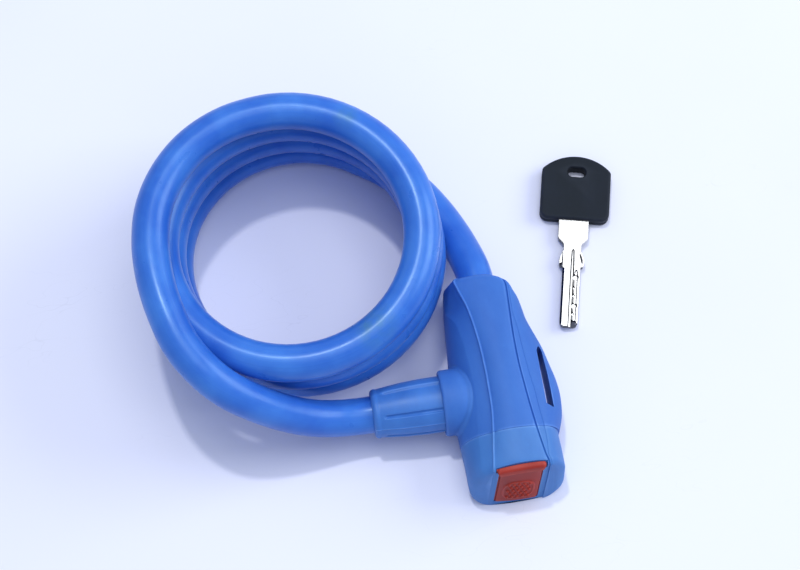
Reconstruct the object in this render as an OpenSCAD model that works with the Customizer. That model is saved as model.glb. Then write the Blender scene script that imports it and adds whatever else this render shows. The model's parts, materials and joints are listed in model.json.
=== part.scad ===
// Coiled cable lock with its key: a sheathed steel cable fixed in one end of a
// moulded lock housing, with a plug on its free end that seats in a side socket.
// Z is up and z = 0 is the underside. The housing runs along Y, with the keyhole
// end at -Y and the fixed cable end at +Y. The plug enters along +X.

/* [Cable] */
// Outer diameter of the sheathed cable
cable_d = 12; // [11:0.1:12.3]
// Diameter of the bare steel rope inside the sheath
rope_d = 6; // [5:0.1:7]
// Radius of the coil's turns, to the middle of the cable
coil_r = 42.5; // [38:0.5:48]
// Space left between one turn of the coil and the next
turn_gap = 0.5; // [0.5:0.05:1.5]

/* [Housing] */
// Height of the cable, plug and key axes above the underside
axis_z = 14; // [13.5:0.1:15]
// Distance from the socket axis back to the end the cable leaves by
back_len = 39.4; // [36:0.1:46]
// Distance from the socket axis forward to the joint between housing and cap
seam_len = 15.1; // [13:0.1:17]
// Length of the front cap along the underside
cap_len = 17.3; // [16.5:0.1:20]
// How far the front face leans back for each millimetre of height
face_slant = 0.2; // [0.1:0.01:0.25]
// Width of the strap slot through the side wing
strap_slot_w = 2.4; // [1.6:0.1:3]
// Length of the strap slot
strap_slot_l = 20.5; // [12:0.5:22]
// Diameter of the round collar about the socket
collar_d = 21.6; // [20:0.1:24]
// How far the collar's face stands out from the socket's middle plane
collar_reach = 20; // [19:0.5:23]

/* [Plug] */
// Diameter of the plug's steel pin
plug_d = 8.6; // [8:0.1:9]
// Width of the locking groove
groove_w = 3; // [2.9:0.1:3.4]
// Diameter of the sleeve at its socket end
sleeve_d = 18.2; // [17:0.1:18.8]
// Diameter of the sleeve where the cable enters it
sleeve_tail_d = 15.8; // [14.4:0.1:16.8]
// Length of the sleeve
sleeve_len = 23.4; // [21:0.1:30]

/* [Cylinder] */
// Diameter of the turning core
core_d = 10.1; // [9.8:0.1:10.4]
// Outside diameter of the brass shell round the core
shell_d = 14; // [13.4:0.1:14.4]
// Running clearance between turning or sliding metal parts, on the radius
run_fit = 0.05; // [0.02:0.01:0.08]
// How far the locking bolt drops when the core turns a quarter turn
bolt_travel = 1.8; // [1.2:0.1:2]
// Number of slider tumblers beside the keyway
tumbler_count = 5; // [3:1:5]
// Thickness of the locking bolt
bolt_t = 2.6; // [2.2:0.1:2.7]

/* [Keyhole cover] */
// Width of the cover's front panel
cover_w = 14.2; // [12.5:0.1:15]
// Thickness of the cover
cover_t = 2.3; // [2:0.1:2.4]

/* [Key] */
// Length of the whole key
key_len = 61.6; // [58:0.1:70]
// Width of the moulded key head at its foot
key_head_w = 23.6; // [20:0.1:26]
// Length of the moulded key head
key_head_len = 23.3; // [21:0.1:30]
// Thickness of the moulded key head
key_head_t = 5; // [4.4:0.1:7]
// Width of the key blade
blade_w = 6; // [5:0.1:6.2]
// Thickness of the key blade
blade_t = 2.2; // [1.8:0.1:2.3]

/* [Hidden] */

cable_blue = [0.16, 0.42, 0.88];
moulded_blue = [0.20, 0.42, 0.84];
cap_blue = [0.24, 0.48, 0.84];
cover_orange = [0.80, 0.22, 0.12];
zinc = [0.62, 0.63, 0.65];
brass = [0.80, 0.66, 0.33];
steel = [0.75, 0.76, 0.78];
spring_steel = [0.50, 0.51, 0.54];
key_black = [0.07, 0.08, 0.09];

$fn = 48;
cut = 1;          // extra length that makes a cut run clean through a face
seat_gap = 0.3;   // space between pieces of different moving bodies
close_gap = 0.15; // space where one moving piece guides another
nest_gap = 0.1;   // space between fixed pieces that nest in each other

// ---- places along the housing -------------------------------------------------
plug_y = -2.9;                     // the socket's axis
back_y = plug_y + back_len;        // rear end, where the cable leaves
seam_y = plug_y - seam_len;        // joint between housing and front cap
front_y = seam_y - cap_len;        // front face at the underside
lock_x = 1;                        // vertical plane of the key, cam and bolt
exit_x = -0.8;                     // vertical plane of the fixed cable end
collar_x = lock_x - collar_reach;  // the collar's face
slant_deg = atan(face_slant);

// ---- outer form of housing and cap -----------------------------------------------
// One row per station: [y, left half width, right half width, left crease,
// right crease, crease height, crown height]
stations_housing = [
    [seam_y,      14.8, 16.6, -4.9, 8.6, 25.2, 26.9],
    [-11,         15.2, 15.3, -4.1, 7.8, 25.5, 27.1],
    [-4,          15.1, 14.7, -3.9, 7.2, 25.6, 27.1],
    [4,           14.8, 14.3, -3.9, 6.7, 25.3, 26.7],
    [14,          14.1, 13.9, -4.4, 6.7, 24.6, 25.9],
    [25,          13.2, 12.6, -5.9, 7.2, 23.6, 24.9],
    [back_y - 4,  12.4, 11.0, -8.0, 7.5, 22.5, 23.8],
    [back_y - 1,  11.8, 10.2, -8.6, 7.2, 22.0, 23.2],
    [back_y,      10.4,  8.8, -7.7, 6.3, 21.2, 22.2]
];
stations_cap = [
    [front_y,        9.8, 12.4, -6.2, 10.0, 23.2, 24.9],
    [front_y + 0.5, 12.0, 14.4, -6.7, 10.6, 23.9, 25.6],
    [front_y + 2.2, 13.8, 16.6, -6.6, 10.5, 24.6, 26.3],
    [front_y + 5,   14.4, 16.9, -6.3,  9.9, 24.9, 26.6],
    [seam_y - 6,    14.5, 16.8, -5.6,  9.2, 25.0, 26.7],
    [seam_y,        14.8, 16.6, -4.9,  8.6, 25.2, 26.9]
];
belly_z = 12.5;   // height at which the sides are widest
band_step = 0.5;  // height of the step at each edge of the top band

function mix(a, b, t) = a + (b - a) * t;
function on_flank(w, crease, top, across, drop) =
    [mix(crease, w, across), mix(top, belly_z, drop)];

// Section of the body at one station, clockwise seen from the keyhole end
function section(s) = let(l = -s[1], r = s[2], cl = s[3], cr = s[4], zc = s[5], zt = s[6]) [
    [l + 3.2, 0], [l + 0.9, 2.6], [l, 7.5], [l, belly_z],
    on_flank(l, cl, zc, 0.88, 0.62), on_flank(l, cl, zc, 0.60, 0.28),
    on_flank(l, cl, zc, 0.28, 0.09), [cl - band_step, zc - band_step], [cl, zc],
    [mix(cl, cr, 0.22), mix(zc, zt, 0.72)], [mix(cl, cr, 0.5), zt],
    [mix(cl, cr, 0.78), mix(zc, zt, 0.72)],
    [cr, zc], [cr + band_step, zc - band_step],
    on_flank(r, cr, zc, 0.45, 0.14), on_flank(r, cr, zc, 0.78, 0.42),
    on_flank(r, cr, zc, 0.95, 0.74), [r, belly_z], [r, 7.5],
    [r - 0.9, 2.6], [r - 3.2, 0]
];

// How much of the front face's lean a station takes, from none at the seam
function lean(y) = face_slant * min(max((seam_y - y) / cap_len, 0), 1);
function station_points(s) = [for (p = section(s)) [p[0], s[0] + lean(s[0]) * p[1], p[1]]];

// Closed solid through rings of points that all have the same count, each ring
// clockwise seen from before the first
module skin(rings) {
    n = len(rings[0]);
    m = len(rings);
    side_faces = [
        for (i = [0 : m - 2], j = [0 : n - 1])
            let(a = i * n + j, b = i * n + (j + 1) % n)
            for (f = [[a, a + n, b], [b, a + n, b + n]]) f
    ];
    first = [for (j = [0 : n - 1]) j];
    last = [for (j = [n - 1 : -1 : 0]) (m - 1) * n + j];
    polyhedron(points = [for (r = rings) for (p = r) p], faces = concat(side_faces, [first, last]));
}
module loft(stations) {
    skin([for (s = stations) station_points(s)]);
}

// ---- lock case ----------------------------------------------------------------------
case_r = 9;                           // round body of the case
case_front = seam_y - 8.5;
case_back = plug_y + 13;
tang_back = back_y - 9.5;
tang_w = 14;
tang_h = 13;
boss_right = lock_x + 11.2;           // far end of the ejector's boss
boss_half = 6.2;
saddle_l = lock_x - 2.7;
saddle_r = lock_x + 2.7;
saddle_front = plug_y - 12.2;
saddle_back = plug_y + 7.2;
saddle_top = axis_z + 9.95;

// ---- cylinder -------------------------------------------------------------------------
core_r = core_d / 2;
shell_r = shell_d / 2;
core_face = case_front - 1.9;
flange_t = 1.4;
flange_r = core_r + 0.8;
shell_front = case_front - 1.3;
shell_back = shell_front + 12.4;
keyway_w = blade_t + 0.4;
keyway_h = blade_w + 0.6;
drive_r = core_r - 0.45;              // rear part of the core, which carries the cam
core_back = plug_y - plug_d / 2 - 0.35;
clip_t = 0.8;
clip_y = shell_back + 0.2;
cam_t = 2.2;
cam_y = clip_y + clip_t + 0.4;
cam_low = drive_r + 0.8;
cam_high = cam_low + bolt_travel;
cam_room_r = cam_high + 0.5;
cam_room_back = cam_y + cam_t + 0.4;
flat_depth = 0.6;                     // flats that key the cam to the core
pin_r = 1.25;
pin_y = seam_y - 3;

// ---- plug, socket and bolt ---------------------------------------------------------------
plug_r = plug_d / 2;
socket_r = plug_r + close_gap;
bolt_clear = 0.3;                     // bolt's lower edge above the pin when unlocked
neck_r = plug_r + bolt_clear - bolt_travel - close_gap;
groove_a = lock_x - groove_w / 2;
groove_b = lock_x + groove_w / 2;
plug_tip = groove_b + 2.1;
tip_chamfer = 1;
liner_r = socket_r + 1.3;
liner_in = lock_x - 6;
recess_depth = 1;
recess_r = sleeve_d / 2 + 0.35;
sleeve_x = collar_x + recess_depth - seat_gap;
sleeve_end = sleeve_x - sleeve_len;
pin_flange_r = 7;
pin_flange_t = 1.4;
ferrule_t = 3;
crimp_r = max(cable_d, rope_d + 2 * ferrule_t) / 2;
cable_in = 2.2;                       // how far the cable reaches into the sleeve
tenon_r = rope_d / 2;
tenon_len = 6;

bolt_low = axis_z + plug_r + bolt_clear;
bolt_top = axis_z + 9;
foot_z = axis_z + cam_high + 0.15;
foot_r = 0.8;
bar_z = foot_z + foot_r / 2;
bolt_half = bolt_t / 2;
bolt_front = cam_y + 0.2;
bolt_back = plug_y + plug_r + 0.35;
blade_front = plug_y - plug_r + 0.65;
channel_half = bolt_half + 0.2;
channel_top = bolt_top + 0.1;
cover_plate_t = 0.8;
pocket_r = 0.95;
spring_r = 0.85;
pocket_z = bolt_low + 1.25;

ejector_gap = 0.4;
ejector_x = plug_tip + ejector_gap;
ejector_head_t = 1.4;
ejector_stem_r = 1.6;
ejector_room = boss_right - 1.3;      // floor of the ejector's bore
spring_wire = 0.8;
spring_turns = 3;

// ---- cable end and fixings ------------------------------------------------------------------
wall_back = 4.6;                      // thickness of the housing's rear wall
cable_root = back_y - wall_back - 0.4;
ferrule_r = 5;
ferrule_front = case_back + 2.5;
ferrule_back = cable_root - 0.4;
ferrule_bore = rope_d / 2 + nest_gap;
anchor_r = 1.4;
anchor_y = (ferrule_front + tang_back) / 2;
screw_y = plug_y + 9.4;
screw_x = [lock_x - 4, lock_x + 4];
screw_r = 1.25;
screw_head_r = 2.6;
screw_head_t = 1.6;
screw_sink = 1.2;
screw_len = 9.6;

// ---- cover track ------------------------------------------------------------------------------
track_floor = cover_t + 0.4;          // depth of the track below the front face
tongue_w = 1;                         // the cover's side tongues
tongue_t = cover_t / 2;
cover_foot = 2.4;                     // height of the cover's lower edge along the face
cover_top = 26.1;
// Top edge of the cover from right to left: share of the half width, and drop
cover_edge = [[1, 0.7], [0.5, 0], [0, 0], [-0.5, 0.6], [-1, 2]];
roll_deg = 4.8;                       // the cover's sideways lean
roll_z = 9.5;                         // height that it leans about
track_foot = cover_foot - 0.4;
keyhole_r = flange_r + 0.4;

// ---- key's place on the floor --------------------------------------------------------------------
key_tip = [28.1, 20.2];
key_turn = -13.5;
blade_lift = key_head_t / 2;
shank_w = 10.2;
blade_len = 29.5;                     // from the tip to the shoulder
shoulder_len = 1.5;
head_foot = key_len - key_head_len;
tenon_in_head = 12;
ring_hole_w = 6;
ring_hole_h = 3.3;
ear_w = 8.4;
ear_from = 21;
ear_to = 26.8;
track_x = 0.9;                        // near edge of the milled track, from the middle
track_w = 1.9;
track_len = 24;
track_depth = 0.7;
groove_len = 29;                      // plain groove along the middle of the blade
groove_mid_w = 0.8;
groove_depth = 0.35;
ring_hole_inset = 6;                  // from the top of the head to the hole's middle

// ---- cable routes ---------------------------------------------------------------------------------
// The coil starts on top, above the far side, and winds down clockwise seen
// from above. Turns are counted from the -Y side.
turn_start = 0.5;
turn_end = 3.6;
coil_rings = 24;                      // rings in one turn
coil_sides = 6;
coil_spin = 15;                       // turns the six-sided section about the cable
coil_floor = 0.1;                     // height of the lowest turn above the floor
coil_drift = [1.3, 1.2];              // each lower turn lies this much further over
coil_mid = [-60, 52];
coil_pitch = cable_d + turn_gap;
coil_end_z = cable_d / 2 + coil_floor;
coil_top_z = coil_end_z + coil_pitch * (turn_end - turn_start);

function coil_point(t) = let(k = t - turn_start) [
    coil_mid[0] + coil_drift[0] * k - coil_r * sin(360 * t),
    coil_mid[1] + coil_drift[1] * k - coil_r * cos(360 * t),
    coil_top_z - coil_pitch * k
];
coil_steps = round((turn_end - turn_start) * coil_rings);
coil_points = [for (i = [0 : coil_steps]) coil_point(mix(turn_start, turn_end, i / coil_steps))];

// Free stretch from the plug's sleeve up on to the coil
lead_points = [
    [sleeve_end + cable_in, plug_y, axis_z], [-46, plug_y, axis_z], [-53, -2.9, 15.5],
    [-61, -2.7, 19.5], [-69, -1.6, 25.5], [-77, 0.5, 32.5], [-85, 4, 39], [-92, 10, 43.6],
    [-98, 19, 46.4], [-101.5, 30, 47.8], [-103.5, 42, 48.2], [-103.5, 54, 48.1],
    [-101, 66, 47.6], [-95, 77, 47.1], [-86, 86, 46.6], [-74, 92.2, 45.7], coil_points[0]
];
// Free stretch from the coil's foot into the rear of the housing
tail_points = [
    coil_points[coil_steps], [-22.5, 83.8, 6.1], [-14.5, 75, 6.1], [-9.1, 66.2, 6.6],
    [-5.3, 57.4, 8.1], [-2.9, 49.4, 10.6], [-1.4, 42.5, 13], [exit_x, back_y, axis_z],
    [exit_x, cable_root, axis_z]
];
free_sides = 12;

function unit(v) = v / norm(v);
function direction(path, i, from, to) =
    i == 0 ? from :
    i == len(path) - 1 ? to :
    unit(unit(path[i] - path[i - 1]) + unit(path[i + 1] - path[i]));
function ring(p, d, r, sides, spin, axis) = let(
    across = unit(cross(d, axis)), up = cross(across, d)
) [for (k = [0 : sides - 1]) let(a = spin + 360 * k / sides) p + r * (across * sin(a) + up * cos(a))];

// One unbroken tube along a path, as a closed solid with triangular sides. Its
// sections are turned by the axis, which the path never runs along.
module tube(path, r, sides, spin, from, to, axis = [0, 0, 1]) {
    points = [
        for (i = [0 : len(path) - 1])
            for (p = ring(path[i], direction(path, i, from, to), r, sides, spin, axis)) p
    ];
    m = len(path);
    side_faces = [
        for (i = [0 : m - 2], k = [0 : sides - 1])
            let(a = i * sides + k, b = i * sides + (k + 1) % sides)
            for (f = [[a, a + sides, b], [b, a + sides, b + sides]]) f
    ];
    first = [for (k = [0 : sides - 1]) k];
    last = [for (k = [sides - 1 : -1 : 0]) (m - 1) * sides + k];
    polyhedron(points = points, faces = concat(side_faces, [first, last]));
}

coil_from = unit(coil_point(turn_start + 0.001) - coil_point(turn_start));
coil_to = unit(coil_point(turn_end) - coil_point(turn_end - 0.001));

// Least gap between turns, measured from point to point along the coil
gap_points = [for (i = [0 : 8 : 8 * coil_steps]) coil_point(mix(turn_start, turn_end, i / 8 / coil_steps))];
turn_gaps = [
    for (i = [0 : coil_steps], j = [i + coil_rings - 4 : coil_steps])
        if (j <= coil_steps && j - i < coil_rings + 5) norm(gap_points[i] - gap_points[j])
];
echo(least_gap_between_turns = min(turn_gaps) - cable_d);

// Coil of the ejector's spring, along X
spring_from = ejector_x + ejector_head_t + spring_wire / 2 + 0.1;
spring_to = ejector_room - spring_wire / 2 - 0.1;
spring_mid_r = ejector_stem_r + close_gap + 0.6 + spring_wire / 2;
spring_path = [for (i = [0 : 8 * spring_turns]) [
    mix(spring_from, spring_to, i / 8 / spring_turns),
    plug_y + spring_mid_r * cos(45 * i),
    axis_z + spring_mid_r * sin(45 * i)
]];
echo(least_gap_in_ejector_spring = (spring_to - spring_from) / spring_turns - spring_wire);

// ---- helpers ------------------------------------------------------------------------------------------
// Round bar along Y from a to b, on the lock's axis unless told otherwise
module along_y(r, a, b, x = lock_x, z = axis_z) {
    translate([x, a, z]) rotate([-90, 0, 0]) cylinder(r = r, h = b - a);
}
// Round bar along X from a to b, on the socket's axis
module along_x(r, a, b) {
    translate([a, plug_y, axis_z]) rotate([0, 90, 0]) cylinder(r = r, h = b - a);
}
module block(low, high) {
    translate(low) cube(high - low);
}
// Local frame of the slanted front face: +Z runs up the face and +Y inwards. The
// cover also leans sideways on it, in line with the band above
module on_front() {
    translate([lock_x, front_y, roll_z]) rotate([0, roll_deg, 0]) translate([0, 0, -roll_z])
        rotate([-slant_deg, 0, 0]) children();
}
module key_place() {
    translate([key_tip[0], key_tip[1], 0]) rotate([0, 0, key_turn]) children();
}

// ---- housing and cap -------------------------------------------------------------------------------------
wing_reach = 19.7;
wing_root = 9;    // plane inside the body that the wing starts from
wing_outline = [
    [wing_root, 24.5], [12.6, 23.5], [14.4, 17.5], [16.6, 11], [wing_reach - 1.6, 4.5],
    [wing_reach - 0.5, -1], [wing_reach, -6], [19.2, -11.2], [18.6, -14.3], [17.3, seam_y],
    [wing_root, seam_y]
];
// Height and share of the full reach, from the top of the wing down
wing_levels = [[21, 0.5], [17.5, 0.85], [14.5, 1], [4.3, 1], [3.5, 0.94]];
module wing() {
    skin([for (w = wing_levels) [for (p = wing_outline) [mix(wing_root, p[0], w[1]), p[1], w[0]]]]);
}
slot_mid_x = 15.1;
module strap_slot() {
    half = strap_slot_l / 2;
    translate([slot_mid_x, 0, -cut]) linear_extrude(2 * axis_z) polygon([
        [-strap_slot_w / 2, -half], [strap_slot_w / 2, -half],
        [strap_slot_w / 2 - 0.4, half - 1.2], [0, half], [-strap_slot_w / 2 + 0.3, half - 1.2]
    ]);
}
module collar() {
    translate([collar_x, plug_y, axis_z]) rotate([0, 90, 0]) rotate_extrude($fn = 64) polygon([
        [0, 0], [collar_d / 2 - 1, 0], [collar_d / 2 - 0.3, 0.3], [collar_d / 2, 1],
        [collar_d / 2, 6], [collar_d / 2 - 0.8, 9.5], [collar_d / 2 - 2.6, 12.5],
        [collar_d / 2 - 4.6, 14], [0, 14]
    ]);
}
// Room for the lock case, open at the seam so that the case goes in from the front
module case_room() {
    room = nest_gap;
    along_y(case_r + room, front_y + 8.3, case_back + room);
    block([saddle_l - room, seam_y - cut, axis_z], [saddle_r + room, saddle_back + room, saddle_top + room]);
    block([lock_x, seam_y - cut, axis_z - boss_half - room],
          [boss_right + room, plug_y + boss_half + room, axis_z + boss_half + room]);
    block([exit_x - tang_w / 2 - room, case_back - cut, axis_z - tang_h / 2 - room],
          [exit_x + tang_w / 2 + room, cable_root, axis_z + tang_h / 2 + room]);
}
module screw_holes() {
    for (x = screw_x) translate([x, screw_y, -cut]) {
        cylinder(r = screw_r + nest_gap, h = axis_z);
        cylinder(r = screw_head_r + nest_gap, h = cut + screw_sink + screw_head_t);
    }
}
module housing() color(moulded_blue) difference() {
    union() {
        loft(stations_housing);
        wing();
        collar();
    }
    case_room();
    strap_slot();
    along_x(liner_r + nest_gap, collar_x - cut, lock_x);
    along_x(recess_r, collar_x - cut, collar_x + recess_depth);
    along_y(cable_d / 2 + nest_gap, cable_root - cut, back_y + cut, x = exit_x);
    screw_holes();
}
module cover_track() {
    on_front() {
        block([-cover_w / 2 - 0.2, -cut, track_foot], [cover_w / 2 + 0.2, track_floor, 2 * cover_top]);
        block([-cover_w / 2 - tongue_w - 0.2, cover_t - tongue_t - 0.2, track_foot],
              [cover_w / 2 + tongue_w + 0.2, track_floor, 2 * cover_top]);
    }
}
module front_cap() color(cap_blue) difference() {
    loft(stations_cap);
    along_y(case_r + nest_gap, case_front - nest_gap, seam_y + cut);
    along_y(keyhole_r, front_y - cut, case_front);
    along_y(shell_r + nest_gap, shell_front - nest_gap, case_front);
    cover_track();
    translate([lock_x, pin_y, -cut]) cylinder(r = pin_r + nest_gap, h = axis_z);
}

// ---- fixed works inside --------------------------------------------------------------------------------------
module lock_case() color(zinc) difference() {
    union() {
        along_y(case_r, case_front, case_back);
        block([saddle_l, saddle_front, axis_z], [saddle_r, saddle_back, saddle_top]);
        block([lock_x, plug_y - boss_half, axis_z - boss_half],
              [boss_right, plug_y + boss_half, axis_z + boss_half]);
        block([exit_x - tang_w / 2, case_back - 1, axis_z - tang_h / 2],
              [exit_x + tang_w / 2, tang_back, axis_z + tang_h / 2]);
    }
    along_y(shell_r, case_front - cut, shell_back);
    along_y(cam_room_r, shell_back - 0.01, cam_room_back);
    along_y(drive_r + close_gap, cam_room_back - cut, core_back + 0.15);
    along_x(liner_r, lock_x - case_r - cut, liner_in);
    along_x(socket_r, liner_in - cut, ejector_room);
    block([lock_x - channel_half, bolt_front - 0.2, axis_z + drive_r + 1],
          [lock_x + channel_half, bolt_back + 0.2, channel_top]);
    block([lock_x - channel_half, blade_front - 0.2, axis_z + neck_r],
          [lock_x + channel_half, bolt_back + 0.2, channel_top]);
    block([saddle_l - cut, saddle_front - cut, channel_top], [saddle_r + cut, saddle_back + cut, saddle_top + cut]);
    along_y(ferrule_r, ferrule_front - 0.3, tang_back + cut, x = exit_x);
    translate([exit_x, anchor_y, 0]) cylinder(r = anchor_r, h = 2 * axis_z);
    for (x = screw_x) translate([x, screw_y, 0]) cylinder(r = screw_r, h = screw_len + screw_sink + 0.5);
    translate([lock_x, pin_y, 0]) cylinder(r = pin_r, h = axis_z);
}
module cylinder_shell() color(brass) difference() {
    along_y(shell_r, shell_front, shell_back);
    along_y(core_r + run_fit, shell_front - cut, shell_back + cut);
    along_y(flange_r + close_gap, shell_front - cut, core_face + flange_t + 0.2);
    block([lock_x + core_r - 1, sidebar_front - 0.3, axis_z - sidebar_h / 2 - 0.1],
          [lock_x + core_r + 0.9, sidebar_back + 0.3, axis_z + sidebar_h / 2 + 0.1]);
    translate([lock_x, pin_y, 0]) cylinder(r = pin_r, h = axis_z - core_r - 0.8);
}
module cylinder_pin() color(steel)
    translate([lock_x, pin_y, 1]) cylinder(r = pin_r - 0.02, h = axis_z - core_r - 1.9);
module socket_liner() color(steel) difference() {
    along_x(liner_r - 0.02, collar_x + recess_depth + 0.1, liner_in);
    along_x(socket_r, collar_x, liner_in + cut);
}
module case_screws() color(steel) for (x = screw_x) translate([x, screw_y, screw_sink]) difference() {
    union() {
        cylinder(r = screw_r - 0.02, h = screw_len);
        cylinder(r = screw_head_r, h = screw_head_t);
    }
    translate([0, 0, -cut]) cylinder(r = 1.2, h = cut + 0.9, $fn = 6);
}
module bolt_cover() color(steel)
    block([saddle_l + 0.1, saddle_front, channel_top], [saddle_r - 0.1, saddle_back, channel_top + cover_plate_t]);
module bolt_spring() color(spring_steel) translate([lock_x, plug_y, pocket_z + 0.05]) difference() {
    cylinder(r = spring_r, h = channel_top - pocket_z - 0.1, $fn = 24);
    translate([0, 0, -cut]) cylinder(r = spring_r - 0.3, h = channel_top, $fn = 24);
}
module ejector_spring() color(spring_steel)
    tube(spring_path, spring_wire / 2, 6, 0, [0, 0, 1], [0, 0, 1], [1, 0, 0]);
module cable_ferrule() color(steel) difference() {
    along_y(ferrule_r - 0.02, ferrule_front, ferrule_back, x = exit_x);
    along_y(ferrule_bore, ferrule_front + 1, ferrule_back + cut, x = exit_x);
    translate([exit_x, anchor_y, 0]) cylinder(r = anchor_r, h = 2 * axis_z);
}
module anchor_pin() color(steel)
    translate([exit_x, anchor_y, axis_z - tang_h / 2]) cylinder(r = anchor_r - 0.02, h = tang_h);
module rope_end() color(steel) difference() {
    along_y(rope_d / 2, ferrule_front + 1.1, cable_root, x = exit_x);
    translate([exit_x, anchor_y, 0]) cylinder(r = anchor_r, h = 2 * axis_z);
}

// ---- cable ------------------------------------------------------------------------------------------------------
module cable_tail() color(cable_blue)
    tube(tail_points, cable_d / 2, free_sides, coil_spin, coil_to, [0, -1, 0]);
module cable_coil() color(cable_blue)
    tube(coil_points, cable_d / 2, coil_sides, coil_spin, coil_from, coil_to);
module cable_lead() color(cable_blue)
    tube(lead_points, cable_d / 2, free_sides, coil_spin, [-1, 0, 0], coil_from);

// ---- turning core -----------------------------------------------------------------------------------------------
sidebar_h = 1.6;
sidebar_t = 1.3;
slider_t = 1.2;                       // thickness of each slider along the keyway
slider_w = 1.7;
slider_h = 6.6;
slider_x = lock_x + keyway_w / 2 + 0.15;
slider_pitch = 2.2;
sliders_front = core_face + flange_t + 1.2;
sidebar_front = sliders_front - 0.4;
sidebar_back = sliders_front + slider_pitch * (tumbler_count - 1) + slider_t + 0.4;
// The core is drawn with its keyway upright, as it stands when locked, and is
// turned back a quarter turn to the unlocked rest position
module unlocked() {
    translate([lock_x, 0, axis_z]) rotate([0, 90, 0]) translate([-lock_x, 0, -axis_z]) children();
}
module each_slider() {
    for (i = [0 : tumbler_count - 1]) translate([0, sliders_front + slider_pitch * i, 0]) children();
}
module drive_flats(gap) {
    for (side = [-1, 1]) translate([lock_x + side * (drive_r - flat_depth + gap + core_r), core_back, axis_z])
        cube([core_d, 2 * (core_back - clip_y - clip_t), 2 * core_d], center = true);
}
module cylinder_core() color(brass) unlocked() difference() {
    union() {
        along_y(core_r, core_face, clip_y);
        along_y(flange_r, core_face, core_face + flange_t);
        along_y(drive_r - 0.5, clip_y - cut, clip_y + clip_t + 0.1);
        difference() {
            along_y(drive_r, clip_y + clip_t + 0.1, core_back);
            drive_flats(0);
        }
    }
    block([lock_x - keyway_w / 2, core_face - cut, axis_z - keyway_h / 2],
          [lock_x + keyway_w / 2, core_back + cut, axis_z + keyway_h / 2]);
    each_slider() block([lock_x, -0.1, axis_z - slider_h / 2 - 0.1],
                        [slider_x + slider_w + 0.1, slider_t + 0.1, axis_z + slider_h / 2 + 0.1]);
    block([slider_x + slider_w, sidebar_front - 0.1, axis_z - sidebar_h / 2 - 0.05],
          [lock_x + core_r + cut, sidebar_back + 0.1, axis_z + sidebar_h / 2 + 0.05]);
}
module slider_tumblers() color(steel) unlocked() each_slider() difference() {
    block([slider_x, 0, axis_z - slider_h / 2], [slider_x + slider_w, slider_t, axis_z + slider_h / 2]);
    translate([slider_x + slider_w / 2, slider_t / 2, axis_z + slider_h / 2 - 1.4]) cylinder(r = 0.45, h = 2, $fn = 16);
}
module slider_springs() color(spring_steel) unlocked() each_slider()
    translate([slider_x + slider_w / 2, slider_t / 2, axis_z + slider_h / 2 - 1.35])
        cylinder(r = 0.4, h = 1.35, $fn = 16);
module sidebar() color(brass) unlocked()
    block([slider_x + slider_w + 0.12, sidebar_front, axis_z - sidebar_h / 2],
          [slider_x + slider_w + 0.12 + sidebar_t - 0.1, sidebar_back, axis_z + sidebar_h / 2]);
module core_clip() color(spring_steel) unlocked() difference() {
    along_y(drive_r + 1.2, clip_y, clip_y + clip_t);
    along_y(drive_r - 0.45, clip_y - cut, clip_y + clip_t + cut);
    block([lock_x - 1.6, clip_y - cut, axis_z - 2 * core_r], [lock_x + 1.6, clip_y + clip_t + cut, axis_z]);
}
// Outline of the cam: high over the dwell, an even fall through the core's quarter
// turn, low to the far side, and a short rise that the follower never reaches
cam_step = 5;
cam_dwell = 20;
cam_fall = 90;
cam_rise = 30;
function cam_radius(a) =
    a <= cam_dwell ? cam_high :
    a <= cam_dwell + cam_fall ? mix(cam_high, cam_low, (a - cam_dwell) / cam_fall) :
    a <= 360 - cam_rise ? cam_low :
    mix(cam_low, cam_high, (a - 360 + cam_rise) / cam_rise);
module locking_cam() color(steel) translate([lock_x, cam_y + cam_t, axis_z]) rotate([90, 0, 0]) difference() {
    linear_extrude(cam_t) polygon([
        for (a = [0 : cam_step : 359]) cam_radius(a) * [sin(a - cam_dwell), cos(a - cam_dwell)]
    ]);
    difference() {
        translate([0, 0, -cut]) cylinder(r = drive_r + nest_gap, h = cam_t + 2 * cut);
        for (side = [-1, 1]) translate([0, side * (drive_r - flat_depth + nest_gap + core_r), 0])
            cube([2 * core_d, core_d, 4 * cam_t], center = true);
    }
}

// ---- bolt, ejector and cover ----------------------------------------------------------------------------------------
module locking_bolt() color(steel) difference() {
    union() {
        block([lock_x - bolt_half, bolt_front, bar_z], [lock_x + bolt_half, bolt_back, bolt_top]);
        block([lock_x - bolt_half, blade_front, bolt_low], [lock_x + bolt_half, bolt_back, bolt_top]);
        along_y(foot_r, bolt_front, bolt_front + cam_t - 0.4, z = foot_z + foot_r);
    }
    translate([lock_x, plug_y, pocket_z]) cylinder(r = pocket_r, h = bolt_top, $fn = 24);
}
module ejector_pin() color(steel) union() {
    along_x(plug_r - 0.05, ejector_x, ejector_x + ejector_head_t);
    along_x(ejector_stem_r, ejector_x, ejector_x + ejector_head_t + 2.4);
}
pad_w = 10.6;
pad_h = 7.4;
pad_z = 8;
pad_t = 0.5;
dot_r = 0.42;
dot_rows = 4;
module cover_plate(half, from, to) {
    translate([0, to, 0]) rotate([90, 0, 0]) linear_extrude(to - from) polygon([
        [-half, cover_foot], [half, cover_foot], for (p = cover_edge) [p[0] * half, cover_top - p[1]]
    ]);
}
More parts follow.
